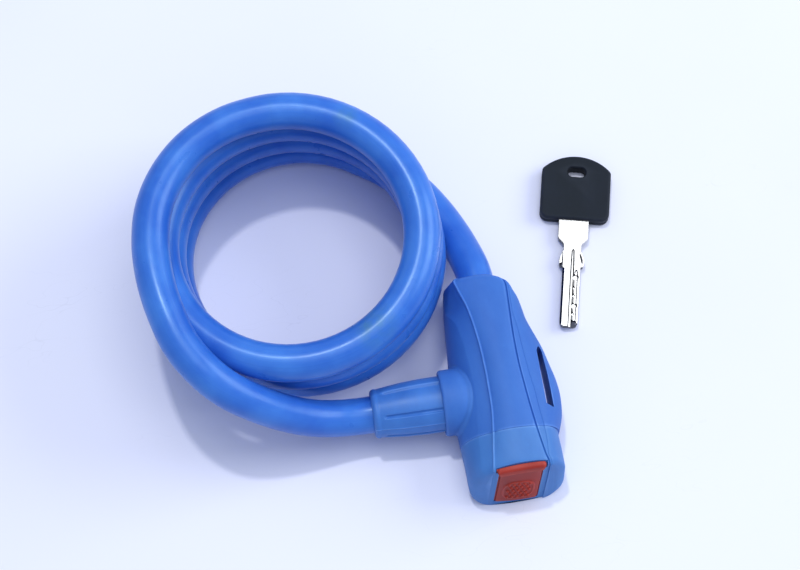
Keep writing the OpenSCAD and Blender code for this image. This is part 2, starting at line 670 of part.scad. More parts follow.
module keyhole_cover() color(cover_orange) on_front() {
    cover_plate(cover_w / 2, 0, cover_t - tongue_t);
    cover_plate(cover_w / 2 + tongue_w, cover_t - tongue_t, cover_t);
    translate([0, 0, pad_z]) rotate([90, 0, 0]) {
        linear_extrude(pad_t) hull() for (sx = [-1, 1], sz = [-1, 1])
            translate([sx * (pad_w / 2 - 2), sz * (pad_h / 2 - 2)]) circle(r = 2, $fn = 24);
        for (row = [0 : dot_rows - 1], col = [0 : 4 + row % 2])
            translate([1.55 * (col - 2 - (row % 2) / 2), 1.6 * (row - (dot_rows - 1) / 2), 0])
                cylinder(r = dot_r, h = pad_t + 0.35, $fn = 16);
    }
}

// ---- plug ------------------------------------------------------------------------------------------------------------
module plug_pin() color(steel) difference() {
    union() {
        along_x(plug_r, sleeve_x - cut, plug_tip - tip_chamfer);
        translate([plug_tip - tip_chamfer, plug_y, axis_z]) rotate([0, 90, 0])
            cylinder(r1 = plug_r, r2 = plug_r - tip_chamfer, h = tip_chamfer);
        along_x(pin_flange_r, sleeve_x - pin_flange_t, sleeve_x);
        along_x(tenon_r, sleeve_x - pin_flange_t - tenon_len, sleeve_x);
    }
    translate([groove_a, plug_y, axis_z]) rotate([0, 90, 0]) difference() {
        cylinder(r = plug_r + cut, h = groove_w);
        translate([0, 0, -cut]) cylinder(r = neck_r, h = groove_w + 2 * cut);
    }
}
ferrule_x0 = sleeve_end + cable_in + 0.1;
ferrule_x1 = sleeve_x - pin_flange_t - 0.1;
module plug_ferrule() color(steel) difference() {
    along_x(crimp_r - 0.1, ferrule_x0, ferrule_x1);
    along_x(tenon_r + nest_gap, ferrule_x0 - cut, ferrule_x1 + cut);
}
module plug_rope_end() color(steel)
    along_x(rope_d / 2, ferrule_x0 - 0.1, ferrule_x1 - tenon_len);
sleeve_bulge = 0.5;
flute_count = 6;
module plug_sleeve() color(moulded_blue) difference() {
    translate([sleeve_x, plug_y, axis_z]) rotate([0, -90, 0]) rotate_extrude($fn = 64) polygon([
        [0, 0], [sleeve_d / 2 - 0.4, 0], [sleeve_d / 2, 0.5],
        for (t = [0.1 : 0.1 : 0.9]) [
            mix(sleeve_d, sleeve_tail_d, t) / 2 + sleeve_bulge * sin(180 * t), t * sleeve_len
        ],
        [sleeve_tail_d / 2, sleeve_len - 1], [sleeve_tail_d / 2 - 0.8, sleeve_len], [0, sleeve_len]
    ]);
    along_x(pin_flange_r + nest_gap, sleeve_x - pin_flange_t - 0.1, sleeve_x + cut);
    along_x(crimp_r, ferrule_x0 - 0.1, sleeve_x);
    along_x(cable_d / 2 + nest_gap, sleeve_end - cut, sleeve_x - sleeve_len / 2);
    for (k = [0 : flute_count - 1]) translate([sleeve_x, plug_y, axis_z]) rotate([60 * k + 12, 0, 0])
        translate([-sleeve_len + 3, -0.5, sleeve_d / 2 - 0.35]) rotate([0, -3, 0]) cube([sleeve_len - 5.5, 1, 3]);
}

// ---- key -------------------------------------------------------------------------------------------------------------
module key_outline() {
    half = blade_w / 2;
    polygon([
        [-half + 1, 0], [half - 1, 0], [half, 1.2], [half, ear_from], [ear_w / 2, ear_from + 1],
        [ear_w / 2, ear_to - 1], [half, ear_to], [half, blade_len],
        [shank_w / 2, blade_len + shoulder_len], [shank_w / 2, head_foot + tenon_in_head],
        [-shank_w / 2, head_foot + tenon_in_head], [-shank_w / 2, blade_len + shoulder_len],
        [-half, blade_len], [-half, ear_to], [-ear_w / 2, ear_to - 1],
        [-ear_w / 2, ear_from + 1], [-half, ear_from], [-half, 1.2]
    ]);
}
track_cuts = [4, 8, 12, 16, 20];      // deeper bites of the track, from the tip
module key_blade() color(steel) key_place() difference() {
    translate([0, 0, blade_lift - blade_t / 2]) linear_extrude(blade_t) key_outline();
    translate([track_x, -cut, blade_lift + blade_t / 2 - track_depth]) cube([track_w, track_len, blade_t]);
    translate([-groove_mid_w / 2, -cut, blade_lift + blade_t / 2 - groove_depth])
        cube([groove_mid_w, groove_len, blade_t]);
    for (y = track_cuts)
        translate([track_x + track_w / 2, y, blade_lift + blade_t / 2 - track_depth - 0.4])
            cylinder(r = 1, h = blade_t, $fn = 24);
}
head_corner = 3;
head_top_corner = 1.2;
head_arch = 5;
arch_r = 16;
module head_outline() {
    half = key_head_w / 2;
    shoulder = key_head_len - head_arch;
    hull() {
        for (side = [-1, 1]) translate([side * (half - head_corner), head_corner]) circle(r = head_corner, $fn = 32);
        for (side = [-1, 1])
            translate([side * (half - 1.5 * head_top_corner), shoulder - head_top_corner])
                circle(r = head_top_corner, $fn = 32);
        intersection() {
            translate([0, key_head_len - arch_r]) circle(r = arch_r, $fn = 96);
            translate([-half + head_top_corner / 2, shoulder]) square([2 * half - head_top_corner, head_arch]);
        }
    }
}
module key_head() color(key_black) key_place() translate([0, head_foot, 0]) difference() {
    linear_extrude(key_head_t) head_outline();
    translate([0, key_head_len - ring_hole_inset, -cut]) linear_extrude(key_head_t + 2 * cut) hull()
        for (side = [-1, 1]) translate([side * (ring_hole_w - ring_hole_h) / 2, 0]) circle(r = ring_hole_h / 2, $fn = 32);
    translate([-shank_w / 2 - 0.02, -cut, blade_lift - blade_t / 2 - 0.02])
        cube([shank_w + 0.04, tenon_in_head + cut + 0.02, blade_t + 0.04]);
}

housing();
front_cap();
lock_case();
cylinder_shell();
cylinder_pin();
socket_liner();
case_screws();
bolt_cover();
bolt_spring();
ejector_spring();
cable_ferrule();
anchor_pin();
rope_end();
cable_tail();
cable_coil();
cylinder_core();
slider_tumblers();
slider_springs();
sidebar();
core_clip();
locking_cam();
locking_bolt();
ejector_pin();
keyhole_cover();
plug_pin();
plug_ferrule();
plug_rope_end();
plug_sleeve();
cable_lead();
key_blade();
key_head();
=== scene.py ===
"""The coiled cable lock and its key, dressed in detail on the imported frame.

Lengths in the scene's own pieces are millimetres in the part's frame, and become
metres where a mesh is made.
"""

import json
import math

import bmesh
import bpy
from mathutils import Matrix, Vector
from mathutils.bvhtree import BVHTree


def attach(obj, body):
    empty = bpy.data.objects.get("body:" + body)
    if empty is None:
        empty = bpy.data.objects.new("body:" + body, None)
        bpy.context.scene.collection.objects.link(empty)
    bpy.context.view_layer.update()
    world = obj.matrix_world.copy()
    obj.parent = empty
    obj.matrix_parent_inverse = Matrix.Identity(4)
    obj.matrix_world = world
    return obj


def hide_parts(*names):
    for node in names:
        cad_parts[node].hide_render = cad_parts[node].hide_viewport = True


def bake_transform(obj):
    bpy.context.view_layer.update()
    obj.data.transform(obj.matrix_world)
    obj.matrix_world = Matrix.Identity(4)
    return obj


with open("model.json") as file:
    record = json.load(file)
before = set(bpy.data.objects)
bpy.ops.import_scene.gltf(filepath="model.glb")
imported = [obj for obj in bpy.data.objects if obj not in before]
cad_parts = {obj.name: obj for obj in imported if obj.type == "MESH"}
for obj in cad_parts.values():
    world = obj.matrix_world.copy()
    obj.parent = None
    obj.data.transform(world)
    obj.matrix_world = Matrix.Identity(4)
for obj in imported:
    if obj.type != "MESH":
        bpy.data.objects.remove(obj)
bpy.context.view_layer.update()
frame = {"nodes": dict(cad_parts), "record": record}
nodes = frame["nodes"]

MM = 0.001

# ---- camera ----

CAMERA_AT = Vector((-62.5, -191.7, 657.8)) * MM
CAMERA_AIM = Vector((-25.0, 44.8, 0.0)) * MM
LENS_MM = 93.0


def add_camera():
    data = bpy.data.cameras.new("camera")
    data.lens = LENS_MM
    data.sensor_width = 36.0
    camera = bpy.data.objects.new("camera", data)
    camera.location = CAMERA_AT
    camera.rotation_euler = (CAMERA_AIM - CAMERA_AT).to_track_quat("-Z", "Y").to_euler()
    bpy.context.scene.collection.objects.link(camera)
    bpy.context.scene.camera = camera


add_camera()

# ---- sizes ----
# As in the part's source, but for SLEEVE_TAIL_R, COVER_T, WING_REACH, STRIP_EDGE and
# LEFT_STRIP, which belong to the finer pieces made here.

CABLE_D = 12.0
COIL_R = 42.5
TURN_START, TURN_END = 0.5, 3.6
COIL_PITCH = 12.5
COIL_MID = (-60.0, 52.0)
COIL_DRIFT = (1.3, 1.2)
COIL_TOP_Z = 44.85

AXIS_Z = 14.0
LOCK_X = 1.0
EXIT_X = -0.8
PLUG_Y = -2.9
BACK_Y = 36.5
SEAM_Y = -18.0
FRONT_Y = -35.3
NOSE_Y = -30.3
CAP_LEN = SEAM_Y - FRONT_Y
FACE_SLANT = 0.2
COLLAR_X = -19.0
RECESS_R = 9.45
RECESS_DEPTH = 1.0
BORE_R = 5.85
SLEEVE_X = -18.3
SLEEVE_LEN = 23.4
SLEEVE_R = 9.1
SLEEVE_TAIL_R = 7.6
COVER_W = 14.2
COVER_T = 1.0
SCREW_X = (LOCK_X - 4, LOCK_X + 4)
SCREW_Y = PLUG_Y + 9.4
CASE_BORE_R = 9.1
# The slot for a strap: the plane of its middle, its half width and its half length
STRAP_X, STRAP_HALF_W, STRAP_HALF_L = 15.1, 1.2, 10.25

# [y, left half width, right half width, left crease, right crease, crease height,
# crown height] of the housing, of the cap, and of the rounding of the cap's front
HOUSING_STATIONS = [
    (-18, 14.8, 16.6, -4.9, 8.6, 25.2, 26.9),
    (-11, 15.2, 15.3, -4.1, 7.8, 25.5, 27.1),
    (-4, 15.1, 14.7, -3.9, 7.2, 25.6, 27.1),
    (4, 14.8, 14.3, -3.9, 6.7, 25.3, 26.7),
    (14, 14.1, 13.9, -4.4, 6.7, 24.6, 25.9),
    (25, 13.2, 12.6, -5.9, 7.2, 23.6, 24.9),
    (32.5, 12.4, 11.0, -8.0, 7.5, 22.5, 23.8),
    (35.5, 11.8, 10.2, -8.6, 7.2, 22.0, 23.2),
    (36.5, 10.4, 8.8, -7.7, 6.3, 21.2, 22.2),
]
CAP_STATIONS = [
    (NOSE_Y, 14.4, 16.9, -6.3, 9.9, 24.9, 26.6),
    (-24, 14.5, 16.8, -5.6, 9.2, 25.0, 26.7),
    HOUSING_STATIONS[0],
]
CAP_NOSE = CAP_STATIONS[1::-1] + [
    (-33.1, 13.8, 16.6, -6.6, 10.5, 24.6, 26.3),
    (-34.8, 12.0, 14.4, -6.7, 10.6, 23.9, 25.6),
    (-35.3, 9.8, 12.4, -6.2, 10.0, 23.2, 24.9),
]
# [y, how far the side wing reaches]
WING_REACH = [
    (-18, 17.3), (-14.2, 18.65), (-11, 19.3), (-7, 19.65), (-4, 19.6), (0, 19.1), (3.2, 18.4),
    (6.8, 17.6), (10.4, 16.8), (14.1, 15.6), (17.8, 14.3), (21.5, 13.15), (25, 12.6),
]
# [y, x of the line where the sloping strip beside the band meets the right flank]
STRIP_EDGE = [
    (-36, 10.6), (-30, 11.2), (-24, 11.6), (-17, 11.5), (-11.5, 11.0), (-6, 10.7), (-0.5, 10.0),
    (5, 9.6), (10.7, 9.2), (16.4, 8.9), (22, 8.2), (37, 7.6),
]
# [y, share of the left flank that the strip beside the band takes]
LEFT_STRIP = [
    (-36, 0.48), (-30, 0.47), (-17, 0.43), (-12, 0.40), (-3, 0.36), (4, 0.39), (14, 0.47),
    (18, 0.52), (21, 0.59), (24, 0.75), (27, 0.96), (37, 0.97),
]
BELLY_Z = 12.5


# ---- making meshes ----

CREASE_DEG = 32.0
BAR_SIDES = 64
CUTTER = "cutter"


def new_object(name, bm, crease_deg=CREASE_DEG):
    """An object of the bmesh, given in millimetres, smooth but for its sharper edges."""
    bmesh.ops.scale(bm, vec=(MM, MM, MM), verts=bm.verts)
    bmesh.ops.recalc_face_normals(bm, faces=bm.faces)
    mesh = bpy.data.meshes.new(name)
    bm.to_mesh(mesh)
    bm.free()
    obj = bpy.data.objects.new(name, mesh)
    bpy.context.scene.collection.objects.link(obj)
    soften(obj, crease_deg)
    return obj


def soften(obj, crease_deg=CREASE_DEG):
    obj.data.shade_smooth()
    obj.data.set_sharp_from_angle(angle=math.radians(crease_deg))


def bake(obj):
    """Turns an object's modifiers into its own mesh."""
    shape = obj.evaluated_get(bpy.context.evaluated_depsgraph_get())
    mesh = bpy.data.meshes.new_from_object(shape)
    obj.modifiers.clear()
    obj.data = mesh


def remove(obj):
    bpy.data.objects.remove(obj, do_unlink=True)


def carve(obj, cutters, crease_deg=CREASE_DEG):
    """Cuts the closed cutter objects out of obj, and deletes them."""
    for cutter in cutters:
        cut = obj.modifiers.new("cut", "BOOLEAN")
        cut.object = cutter
        cut.operation = "DIFFERENCE"
        cut.solver = "EXACT"
    bpy.context.view_layer.update()
    bake(obj)
    for cutter in cutters:
        remove(cutter)
    soften(obj, crease_deg)
    return obj


def angles(count):
    """The angles of a full turn in count equal steps."""
    return [2 * math.pi * k / count for k in range(count)]


def bridge(bm, rings, closed=True, capped=True):
    """Faces through rings of vertices that all have the same count."""
    for a, b in zip(rings, rings[1:]):
        count = len(a)
        for i in range(count if closed else count - 1):
            j = (i + 1) % count
            bm.faces.new((a[i], a[j], b[j], b[i]))
    if capped:
        bm.faces.new(rings[0][::-1])
        bm.faces.new(rings[-1])


def ring_verts(bm, rings):
    return [[bm.verts.new(p) for p in ring] for ring in rings]


def skin(name, rings, crease_deg=CREASE_DEG, capped=True):
    """A body through rings of points that all have the same count."""
    bm = bmesh.new()
    bridge(bm, ring_verts(bm, rings), capped=capped)
    return new_object(name, bm, crease_deg)


def box(low, high):
    bm = bmesh.new()
    bmesh.ops.create_cube(bm, size=1.0)
    for v in bm.verts:
        v.co = Vector([lo + (c + 0.5) * (hi - lo) for c, lo, hi in zip(v.co, low, high)])
    return new_object(CUTTER, bm)


def turned(name, start, along, profile, sides, capped=True):
    """A body turned about the line from start along a direction. profile holds
    (distance along, radius) pairs."""
    axis = Vector(along).normalized()
    across = axis.orthogonal().normalized()
    up = axis.cross(across)
    rings = []
    for distance, radius in profile:
        middle = Vector(start) + axis * distance
        rings.append([middle + radius * (across * math.cos(a) + up * math.sin(a))
                      for a in angles(sides)])
    return skin(name, rings, capped=capped)


def bar(radius, start, end):
    along = Vector(end) - Vector(start)
    return turned(CUTTER, start, along, [(0, radius), (along.length, radius)], BAR_SIDES)


def prism(name, outline, low, high):
    """An outline in X and Y, raised from low to high."""
    return skin(name, [[(x, y, z) for x, y in outline] for z in (low, high)])


def mix(a, b, t):
    return a + (b - a) * t


def smooth(t):
    """From 0 to 1 as t does, with level ends."""
    t = min(max(t, 0.0), 1.0)
    return t * t * (3 - 2 * t)


def hermite(a, b, slope_a, slope_b, t):
    """From a to b as t goes from 0 to 1, with the given slopes at the ends."""
    return (
        a * (2 * t ** 3 - 3 * t ** 2 + 1) + slope_a * (t ** 3 - 2 * t ** 2 + t)
        + b * (3 * t ** 2 - 2 * t ** 3) + slope_b * (t ** 3 - t ** 2)
    )


def at(stations, y):
    """The row at y, on a smooth curve through the stations, which rise in y."""
    last = len(stations) - 1
    k = max([0] + [i for i in range(last) if stations[i][0] <= y])
    a, b = stations[k], stations[k + 1]
    span = b[0] - a[0]
    t = (y - a[0]) / span

    def slope(i, column):
        low, high = stations[max(i - 1, 0)], stations[min(i + 1, last)]
        return (high[column] - low[column]) / (high[0] - low[0]) * span

    return [y] + [hermite(a[c], b[c], slope(k, c), slope(k + 1, c), t)
                  for c in range(1, len(a))]


def by_y(table, y):
    """The one value of a table at y, which is kept within the table's ends."""
    return at(table, min(max(y, table[0][0]), table[-1][0]))[1]


def through(points, steps):
    """A smooth curve through the points but the first and last, which only lead it."""
    found = []
    for p0, p1, p2, p3 in zip(points, points[1:], points[2:], points[3:]):
        for k in range(steps):
            t = k / steps
            found.append(hermite(Vector(p1), Vector(p2), (Vector(p2) - Vector(p0)) / 2,
                                 (Vector(p3) - Vector(p1)) / 2, t))
    return found + [Vector(points[-2])]


# ---- cords ----

def coil_point(t):
    """The middle of the cable at t turns, counted from the front of the coil."""
    turn = 2 * math.pi * t
    k = t - TURN_START
    return Vector((
        COIL_MID[0] + COIL_DRIFT[0] * k - COIL_R * math.sin(turn),
        COIL_MID[1] + COIL_DRIFT[1] * k - COIL_R * math.cos(turn),
        COIL_TOP_Z - COIL_PITCH * k,
    ))


# The middle of the cable from the sleeve up to the coil, and from the coil to the housing
LEAD_POINTS = [
    (-39.5, PLUG_Y, AXIS_Z), (-46, PLUG_Y, AXIS_Z), (-53, PLUG_Y, 15.5), (-61, -2.7, 19.5),
    (-69, -1.6, 25.5), (-77, 0.5, 32.5), (-85, 4, 39), (-92, 10, 43.6), (-98, 19, 46.4),
    (-101.5, 30, 47.8), (-103.5, 42, 48.2), (-103.5, 54, 48.1), (-101, 66, 47.6),
    (-95, 77, 47.1), (-86, 86, 46.6), (-74, 92.2, 45.7),
]
TAIL_POINTS = [
    (-22.5, 83.8, 6.1), (-14.5, 75, 6.1), (-9.1, 66.2, 6.6), (-5.3, 57.4, 8.1),
    (-2.9, 49.4, 10.6), (-1.4, 42.5, 13), (EXIT_X, BACK_Y, AXIS_Z), (EXIT_X, 31.5, AXIS_Z),
]
COIL_STEPS_PER_TURN = 72
CURVE_STEPS = 6
CABLE_SIDES = 40


def cable(name, path, before=None, after=None, run=0.0):
    """A cable's surface along a path, which goes on to the points before and after it.
    The attributes along, in metres from run, and around, from 0 to 1, place what its
    material draws."""
    bm = bmesh.new()
    along = bm.verts.layers.float.new("along")
    around = bm.verts.layers.float.new("around")
    rings = []
    line = [before or path[0]] + path + [after or path[-1]]
    for i, p in enumerate(path):
        ahead = (line[i + 2] - line[i]).normalized()
        across = ahead.cross(Vector((0, 0, 1))).normalized()
        up = across.cross(ahead)
        run += (p - path[i - 1]).length * MM if i else 0.0
        ring = []
        for k, a in enumerate(angles(CABLE_SIDES)):
            v = bm.verts.new(p + CABLE_D / 2 * (across * math.sin(a) + up * math.cos(a)))
            v[along] = run
            v[around] = k / CABLE_SIDES
            ring.append(v)
        rings.append(ring)
    bridge(bm, rings)
    return new_object(name, bm, 60.0)


def path_length(path):
    """In metres."""
    return sum((b - a).length for a, b in zip(path, path[1:])) * MM


coil_count = round((TURN_END - TURN_START) * COIL_STEPS_PER_TURN)
coil_path = [coil_point(mix(TURN_START, TURN_END, i / coil_count)) for i in range(coil_count + 1)]
tail_path = through([coil_path[-4], coil_path[-1]] + TAIL_POINTS + [(EXIT_X, 26.5, AXIS_Z)],
                    CURVE_STEPS)
main_path = (coil_path[:-1] + tail_path)[::-1]
lead_path = through([(-33, PLUG_Y, AXIS_Z)] + LEAD_POINTS + [coil_path[0], coil_path[3]],
                    CURVE_STEPS)[::-1]

main_cable = cable("cable_main", main_path, after=lead_path[1])
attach(main_cable, "lock")
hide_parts("cable_tail", "cable_coil")

lead_cable = cable("cable_to_plug", lead_path, before=coil_path[1], run=path_length(main_path))
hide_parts("cable_lead")
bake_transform(lead_cable)

# ---- housing ----

SQUIRCLE_LEFT = 1.7
BAND_STEP = 0.5
RIM_Z = 14.0
FOOT_Z = 7.5  # where a side starts to turn under
FOOT_IN = 3.6  # how far inside the side the flat underside begins
WING_LOW_Z = 3.5  # the underside of the wing
SIDE_LEVELS = (9.2, 10.9)
CROWN_STEPS = 16
# (x, z) from a crease: the bead on the band's left edge, and the groove at its right edge
CREASE_BEAD = [
    (-0.45, -0.1), (-0.36, 0.16), (-0.16, 0.34), (0.06, 0.36), (0.26, 0.26), (0.4, 0.16),
]
CREASE_GROOVE = [(-0.14, 0.04), (0.04, -0.12), (0.14, -0.8), (0.42, -1.02), (0.72, -0.62)]
# How strongly the rear end is rounded in plan, and from where on
BACK_CURVE, BACK_CURVE_Y = 0.031, 28


def flank_run(wall, crease, top, start, count):
    """Points down the left flank, from a share of its width out to its wall."""
    first = math.acos(start ** (SQUIRCLE_LEFT / 2))
    turns = [first * (1 - i / (count - 1)) for i in range(count)]
    return [(mix(crease, wall, math.cos(a) ** (2 / SQUIRCLE_LEFT)),
             mix(BELLY_Z, top, math.sin(a) ** (2 / SQUIRCLE_LEFT))) for a in turns]


def bezier(p0, p1, p2, p3, count):
    """Points of a cubic curve, both ends among them."""
    found = []
    for i in range(count):
        t = i / (count - 1)
        w = ((1 - t) ** 3, 3 * t * (1 - t) ** 2, 3 * t * t * (1 - t), t ** 3)
        found.append(tuple(sum(k * p[c] for k, p in zip(w, (p0, p1, p2, p3))) for c in (0, 1)))
    return found


def foot_curve(wall, count):
    """Down the side from FOOT_Z and round under to the flat underside."""
    side = 1 if wall > 0 else -1
    return bezier((wall, FOOT_Z), (wall, 2.4), (wall - 1.2 * side, 0),
                  (wall - FOOT_IN * side, 0), count)


def wing_foot(wall, reach, count):
    """The same under the side wing: round its lower edge, in along it, and down."""
    under = bezier((reach, FOOT_Z), (reach, 4.4), (reach - 0.6, WING_LOW_Z),
                   (reach - 1.4, WING_LOW_Z), count // 2)
    down = bezier((wall - 0.2, WING_LOW_Z), (wall - 0.8, 2.4), (wall - 1.6, 0),
                  (wall - FOOT_IN, 0), count - count // 2)
    return under + down


def section(row, reach=0.0):
    """A closed ring of (x, z) points, up the left side, over the top and down the right."""
    y, left, right, crease_l, crease_r, crease_z, crown_z = row
    base_l = crease_l - BAND_STEP
    base_z = crease_z - BAND_STEP
    share = min(by_y(LEFT_STRIP, y), 0.97)
    down = flank_run(-left, base_l, base_z, share, 18)
    edge_l = down[0]
    ring = foot_curve(-left, 10)[::-1]
    ring += [(-left, z) for z in SIDE_LEVELS]
    ring += down[::-1]
    ring += [(mix(edge_l[0], base_l, t), mix(edge_l[1], base_z, t) + 0.45 * t * (1 - t))
             for t in (0.03, 0.1, 0.25, 0.4, 0.55, 0.7, 0.85, 0.95)]
    ring.append((base_l + 0.03, base_z + 0.03))
    ring += [(crease_l + x, crease_z + z) for x, z in CREASE_BEAD]
    for i in range(1, CROWN_STEPS):
        s = i / CROWN_STEPS
        ring.append((mix(crease_l, crease_r, s), mix(crown_z, crease_z, (2 * s - 1) ** 2)))
    ring += [(crease_r + x, crease_z + z) for x, z in CREASE_GROOVE]
    strip = (crease_r + 0.86, crease_z - 0.6)
    edge_x = max(by_y(STRIP_EDGE, y), crease_r + 1.15)
    edge = (edge_x, strip[1] - 0.6 * (edge_x - strip[0]))
    ring += [(mix(strip[0], edge[0], t), mix(strip[1], edge[1], t))
             for t in (0.0, 0.15, 0.3, 0.45, 0.6, 0.75, 0.9)]
    outer = max(right, reach)
    ring.append((edge[0], edge[1] - 0.1))
    low = (edge[0] + 0.22, edge[1] - 0.04)
    half_way = (outer - low[0]) / 2
    ring += bezier(low, (low[0] + half_way, low[1] - 0.32 * half_way), (outer, RIM_Z + 2.6),
                   (outer, RIM_Z), 20)
    ring += [(outer, z) for z in (BELLY_Z,) + SIDE_LEVELS[::-1]]
    wing = smooth((outer - right) / 1.6)
    plain, winged = foot_curve(right, 14), wing_foot(right, outer, 14)
    ring += [(mix(a[0], b[0], wing), mix(a[1], b[1], wing)) for a, b in zip(plain, winged)]
    return ring


def placed(ring, y, shrink=0.0):
    """The ring at y, drawn in by shrink millimetres all round, leaned with the front face and
    drawn forward at the right of the rear end, where the plan is rounded."""
    lean = FACE_SLANT * min(max((SEAM_Y - y) / CAP_LEN, 0.0), 1.0)
    back = BACK_CURVE * smooth((y - BACK_CURVE_Y) / (BACK_Y - BACK_CURVE_Y))
    scale = 1 - shrink / BELLY_Z
    found = []
    for x, z in ring:
        high = BELLY_Z + (z - BELLY_Z) * scale
        found.append((x * scale, y + lean * high - back * max(0.0, x + 0.5) ** 2, high))
    return found


# (distance from the end, how far the ring is drawn in) of the edges at the seam
SEAM_ROUND = [(0.0, 0.1), (0.03, 0.04), (0.1, 0.0)]
SEAM_GAP = 0.025  # from the seam's plane to either moulding
SEAM_RUN = 0.3  # from the seam's plane to the evenly spaced rings
BACK_ROUND = 0.5
ROUND_STEPS = 8
HOUSING_RINGS, CAP_RINGS = 90, 18


def housing_ring(y, shrink=0.0):
    reach = at(WING_REACH, y)[1] if y < WING_REACH[-1][0] else 0.0
    return placed(section(at(HOUSING_STATIONS, y), reach), y, shrink)


def cap_ring(y, shrink=0.0):
    return placed(section(at(CAP_STATIONS, y)), y, shrink)


def housing_shell():
    rings = [housing_ring(SEAM_Y + SEAM_GAP + step, shrink) for step, shrink in SEAM_ROUND]
    rings += [housing_ring(mix(SEAM_Y + SEAM_RUN, BACK_Y - BACK_ROUND, i / HOUSING_RINGS))
              for i in range(1, HOUSING_RINGS + 1)]
    for k in range(1, ROUND_STEPS + 1):
        a = math.radians(90 * k / ROUND_STEPS)
        rings.append(housing_ring(BACK_Y - BACK_ROUND * (1 - math.sin(a)),
                                  BACK_ROUND * (1 - math.cos(a))))
    return skin("housing_shell", rings)


def cap_shell():
    rings = [cap_ring(SEAM_Y - SEAM_GAP - step, shrink) for step, shrink in SEAM_ROUND]
    rings += [cap_ring(mix(SEAM_Y - SEAM_RUN, NOSE_Y, i / CAP_RINGS))
              for i in range(1, CAP_RINGS + 1)]
    ends = CAP_NOSE + [CAP_NOSE[-1]]
    for rows in zip(ends, ends[1:], ends[2:], ends[3:]):
        for k in range(1, ROUND_STEPS + 1):
            row = [hermite(b, c, (c - a) / 2, (d - b) / 2, k / ROUND_STEPS)
                   for a, b, c, d in zip(*rows)]
            rings.append(placed(section(row), row[0]))
    return skin("front_cap_shell", rings)


def case_room():
    """Cutters for the room that the lock case lies in."""
    return [
        bar(CASE_BORE_R, (LOCK_X, -27, AXIS_Z), (LOCK_X, 10.2, AXIS_Z)),
        box((-1.8, -19, 14), (3.8, 4.4, 24.05)),
        box((1, -9.2, 7.7), (12.3, 3.4, 20.3)),
        box((-7.9, 9.1, 7.4), (6.3, 31.5, 20.6)),
    ]


def strap_slot():
    """A cutter for the slot, which has a slanted front and a rounded rear end."""
    wide, half = STRAP_HALF_W, STRAP_HALF_L
    outline = [(-wide, -half + 0.1), (-0.9, -half - 0.2), (1.0, -half - 1.1), (wide, -half - 0.9),
               (wide, 0), (0.95, half - 1.6), (0.3, half - 0.1), (0, half), (-0.3, half - 0.2),
               (-0.95, half - 1.6), (-wide, 0)]
    return prism(CUTTER, [(STRAP_X + x, y) for x, y in outline], -1, 30)


def screw_wells():
    """Cutters for the screws' heads and shanks, from below."""
    profile = [(0, 3.2), (0.5, 3.2), (0.8, 2.75), (3.3, 2.75), (3.31, 1.35), (14, 1.35)]
    return [turned(CUTTER, (x, SCREW_Y, -0.5), (0, 0, 1), profile, 48) for x in SCREW_X]


def rear_gland():
    """A cutter for the hole that the cable comes out of."""
    profile = [(0, 7.1), (1.0, 7.1), (1.25, 6.55), (1.7, 6.2), (2.2, 6.1), (6.2, 6.1)]
    return turned(CUTTER, (EXIT_X, BACK_Y + 1, AXIS_Z), (0, -1, 0), profile, 64)


def surface_tree(obj):
    bm = bmesh.new()
    bm.from_mesh(obj.data)
    tree = BVHTree.FromBMesh(bm)
    bm.free()
    return tree


shell = housing_shell()
body_tree = surface_tree(shell)

COLLAR_FACE = Vector((COLLAR_X, PLUG_Y, AXIS_Z))
# (distance from the collar's face, radius)
COLLAR_PROFILE = [
    (0.0, 9.9), (0.06, 10.2), (0.25, 10.5), (0.6, 10.7), (1.0, 10.8), (3.5, 10.8), (5.6, 10.75),
    (6.9, 10.5), (8.1, 10.05), (9.1, 9.5), (10.0, 8.85), (11.0, 8.0), (12.0, 6.9), (12.6, 6.1),
]


def collar_radius(distance):
    for (d0, r0), (d1, r1) in zip(COLLAR_PROFILE, COLLAR_PROFILE[1:]):
        if distance <= d1:
            return mix(r0, r1, (distance - d0) / (d1 - d0))
    return COLLAR_PROFILE[-1][1]


def collar():
    """The round boss about the socket, with the seat that takes the end of the sleeve."""
    inner = [(12.6, BORE_R), (1.15, BORE_R), (RECESS_DEPTH, BORE_R + 0.15),
             (RECESS_DEPTH, RECESS_R - 0.3), (0.9, RECESS_R - 0.1), (0.7, RECESS_R),
             (0.15, RECESS_R), (0.0, RECESS_R + 0.12)]
    profile = COLLAR_PROFILE + inner + [COLLAR_PROFILE[0]]
    return turned("collar", COLLAR_FACE, (1, 0, 0), profile, 128, False)


def outside(point):
    """Whether the point lies outside the housing as it was before its cuts."""
    found = body_tree.find_nearest(Vector(point) * MM)
    return (Vector(point) * MM - found[0]).dot(found[1]) > 0


FILLET_SIDES = 144


def on_collar(distance, out):
    """The point on the collar's outside in the direction out."""
    return COLLAR_FACE + Vector((distance, 0, 0)) + out * collar_radius(distance)


def collar_fillet():
    """A small concave fillet where the collar runs into the flank."""
    reach, steps = 1.5, 6
    rows = []
    for a in angles(FILLET_SIDES):
        out = Vector((0, math.sin(a), math.cos(a)))
        d = 1.2
        while d < 12.2 and outside(on_collar(d, out)):
            d += 0.05
        meet = on_collar(d, out)
        first = on_collar(max(d - reach, 0.9), out)
        beyond = meet + out * reach * 0.9 - Vector((reach * 0.35, 0, 0))
        near = body_tree.find_nearest(beyond * MM)[0] / MM
        corner = meet - Vector((0.05, 0, 0)) + out * 0.05
        rows.append([first * (1 - t) ** 2 + corner * 2 * t * (1 - t) + near * t ** 2
                     for t in (i / steps for i in range(steps + 1))])
    bm = bmesh.new()
    rings = ring_verts(bm, rows)
    bridge(bm, rings + [rings[0]], closed=False, capped=False)
    return new_object("collar_fillet", bm, 80.0)


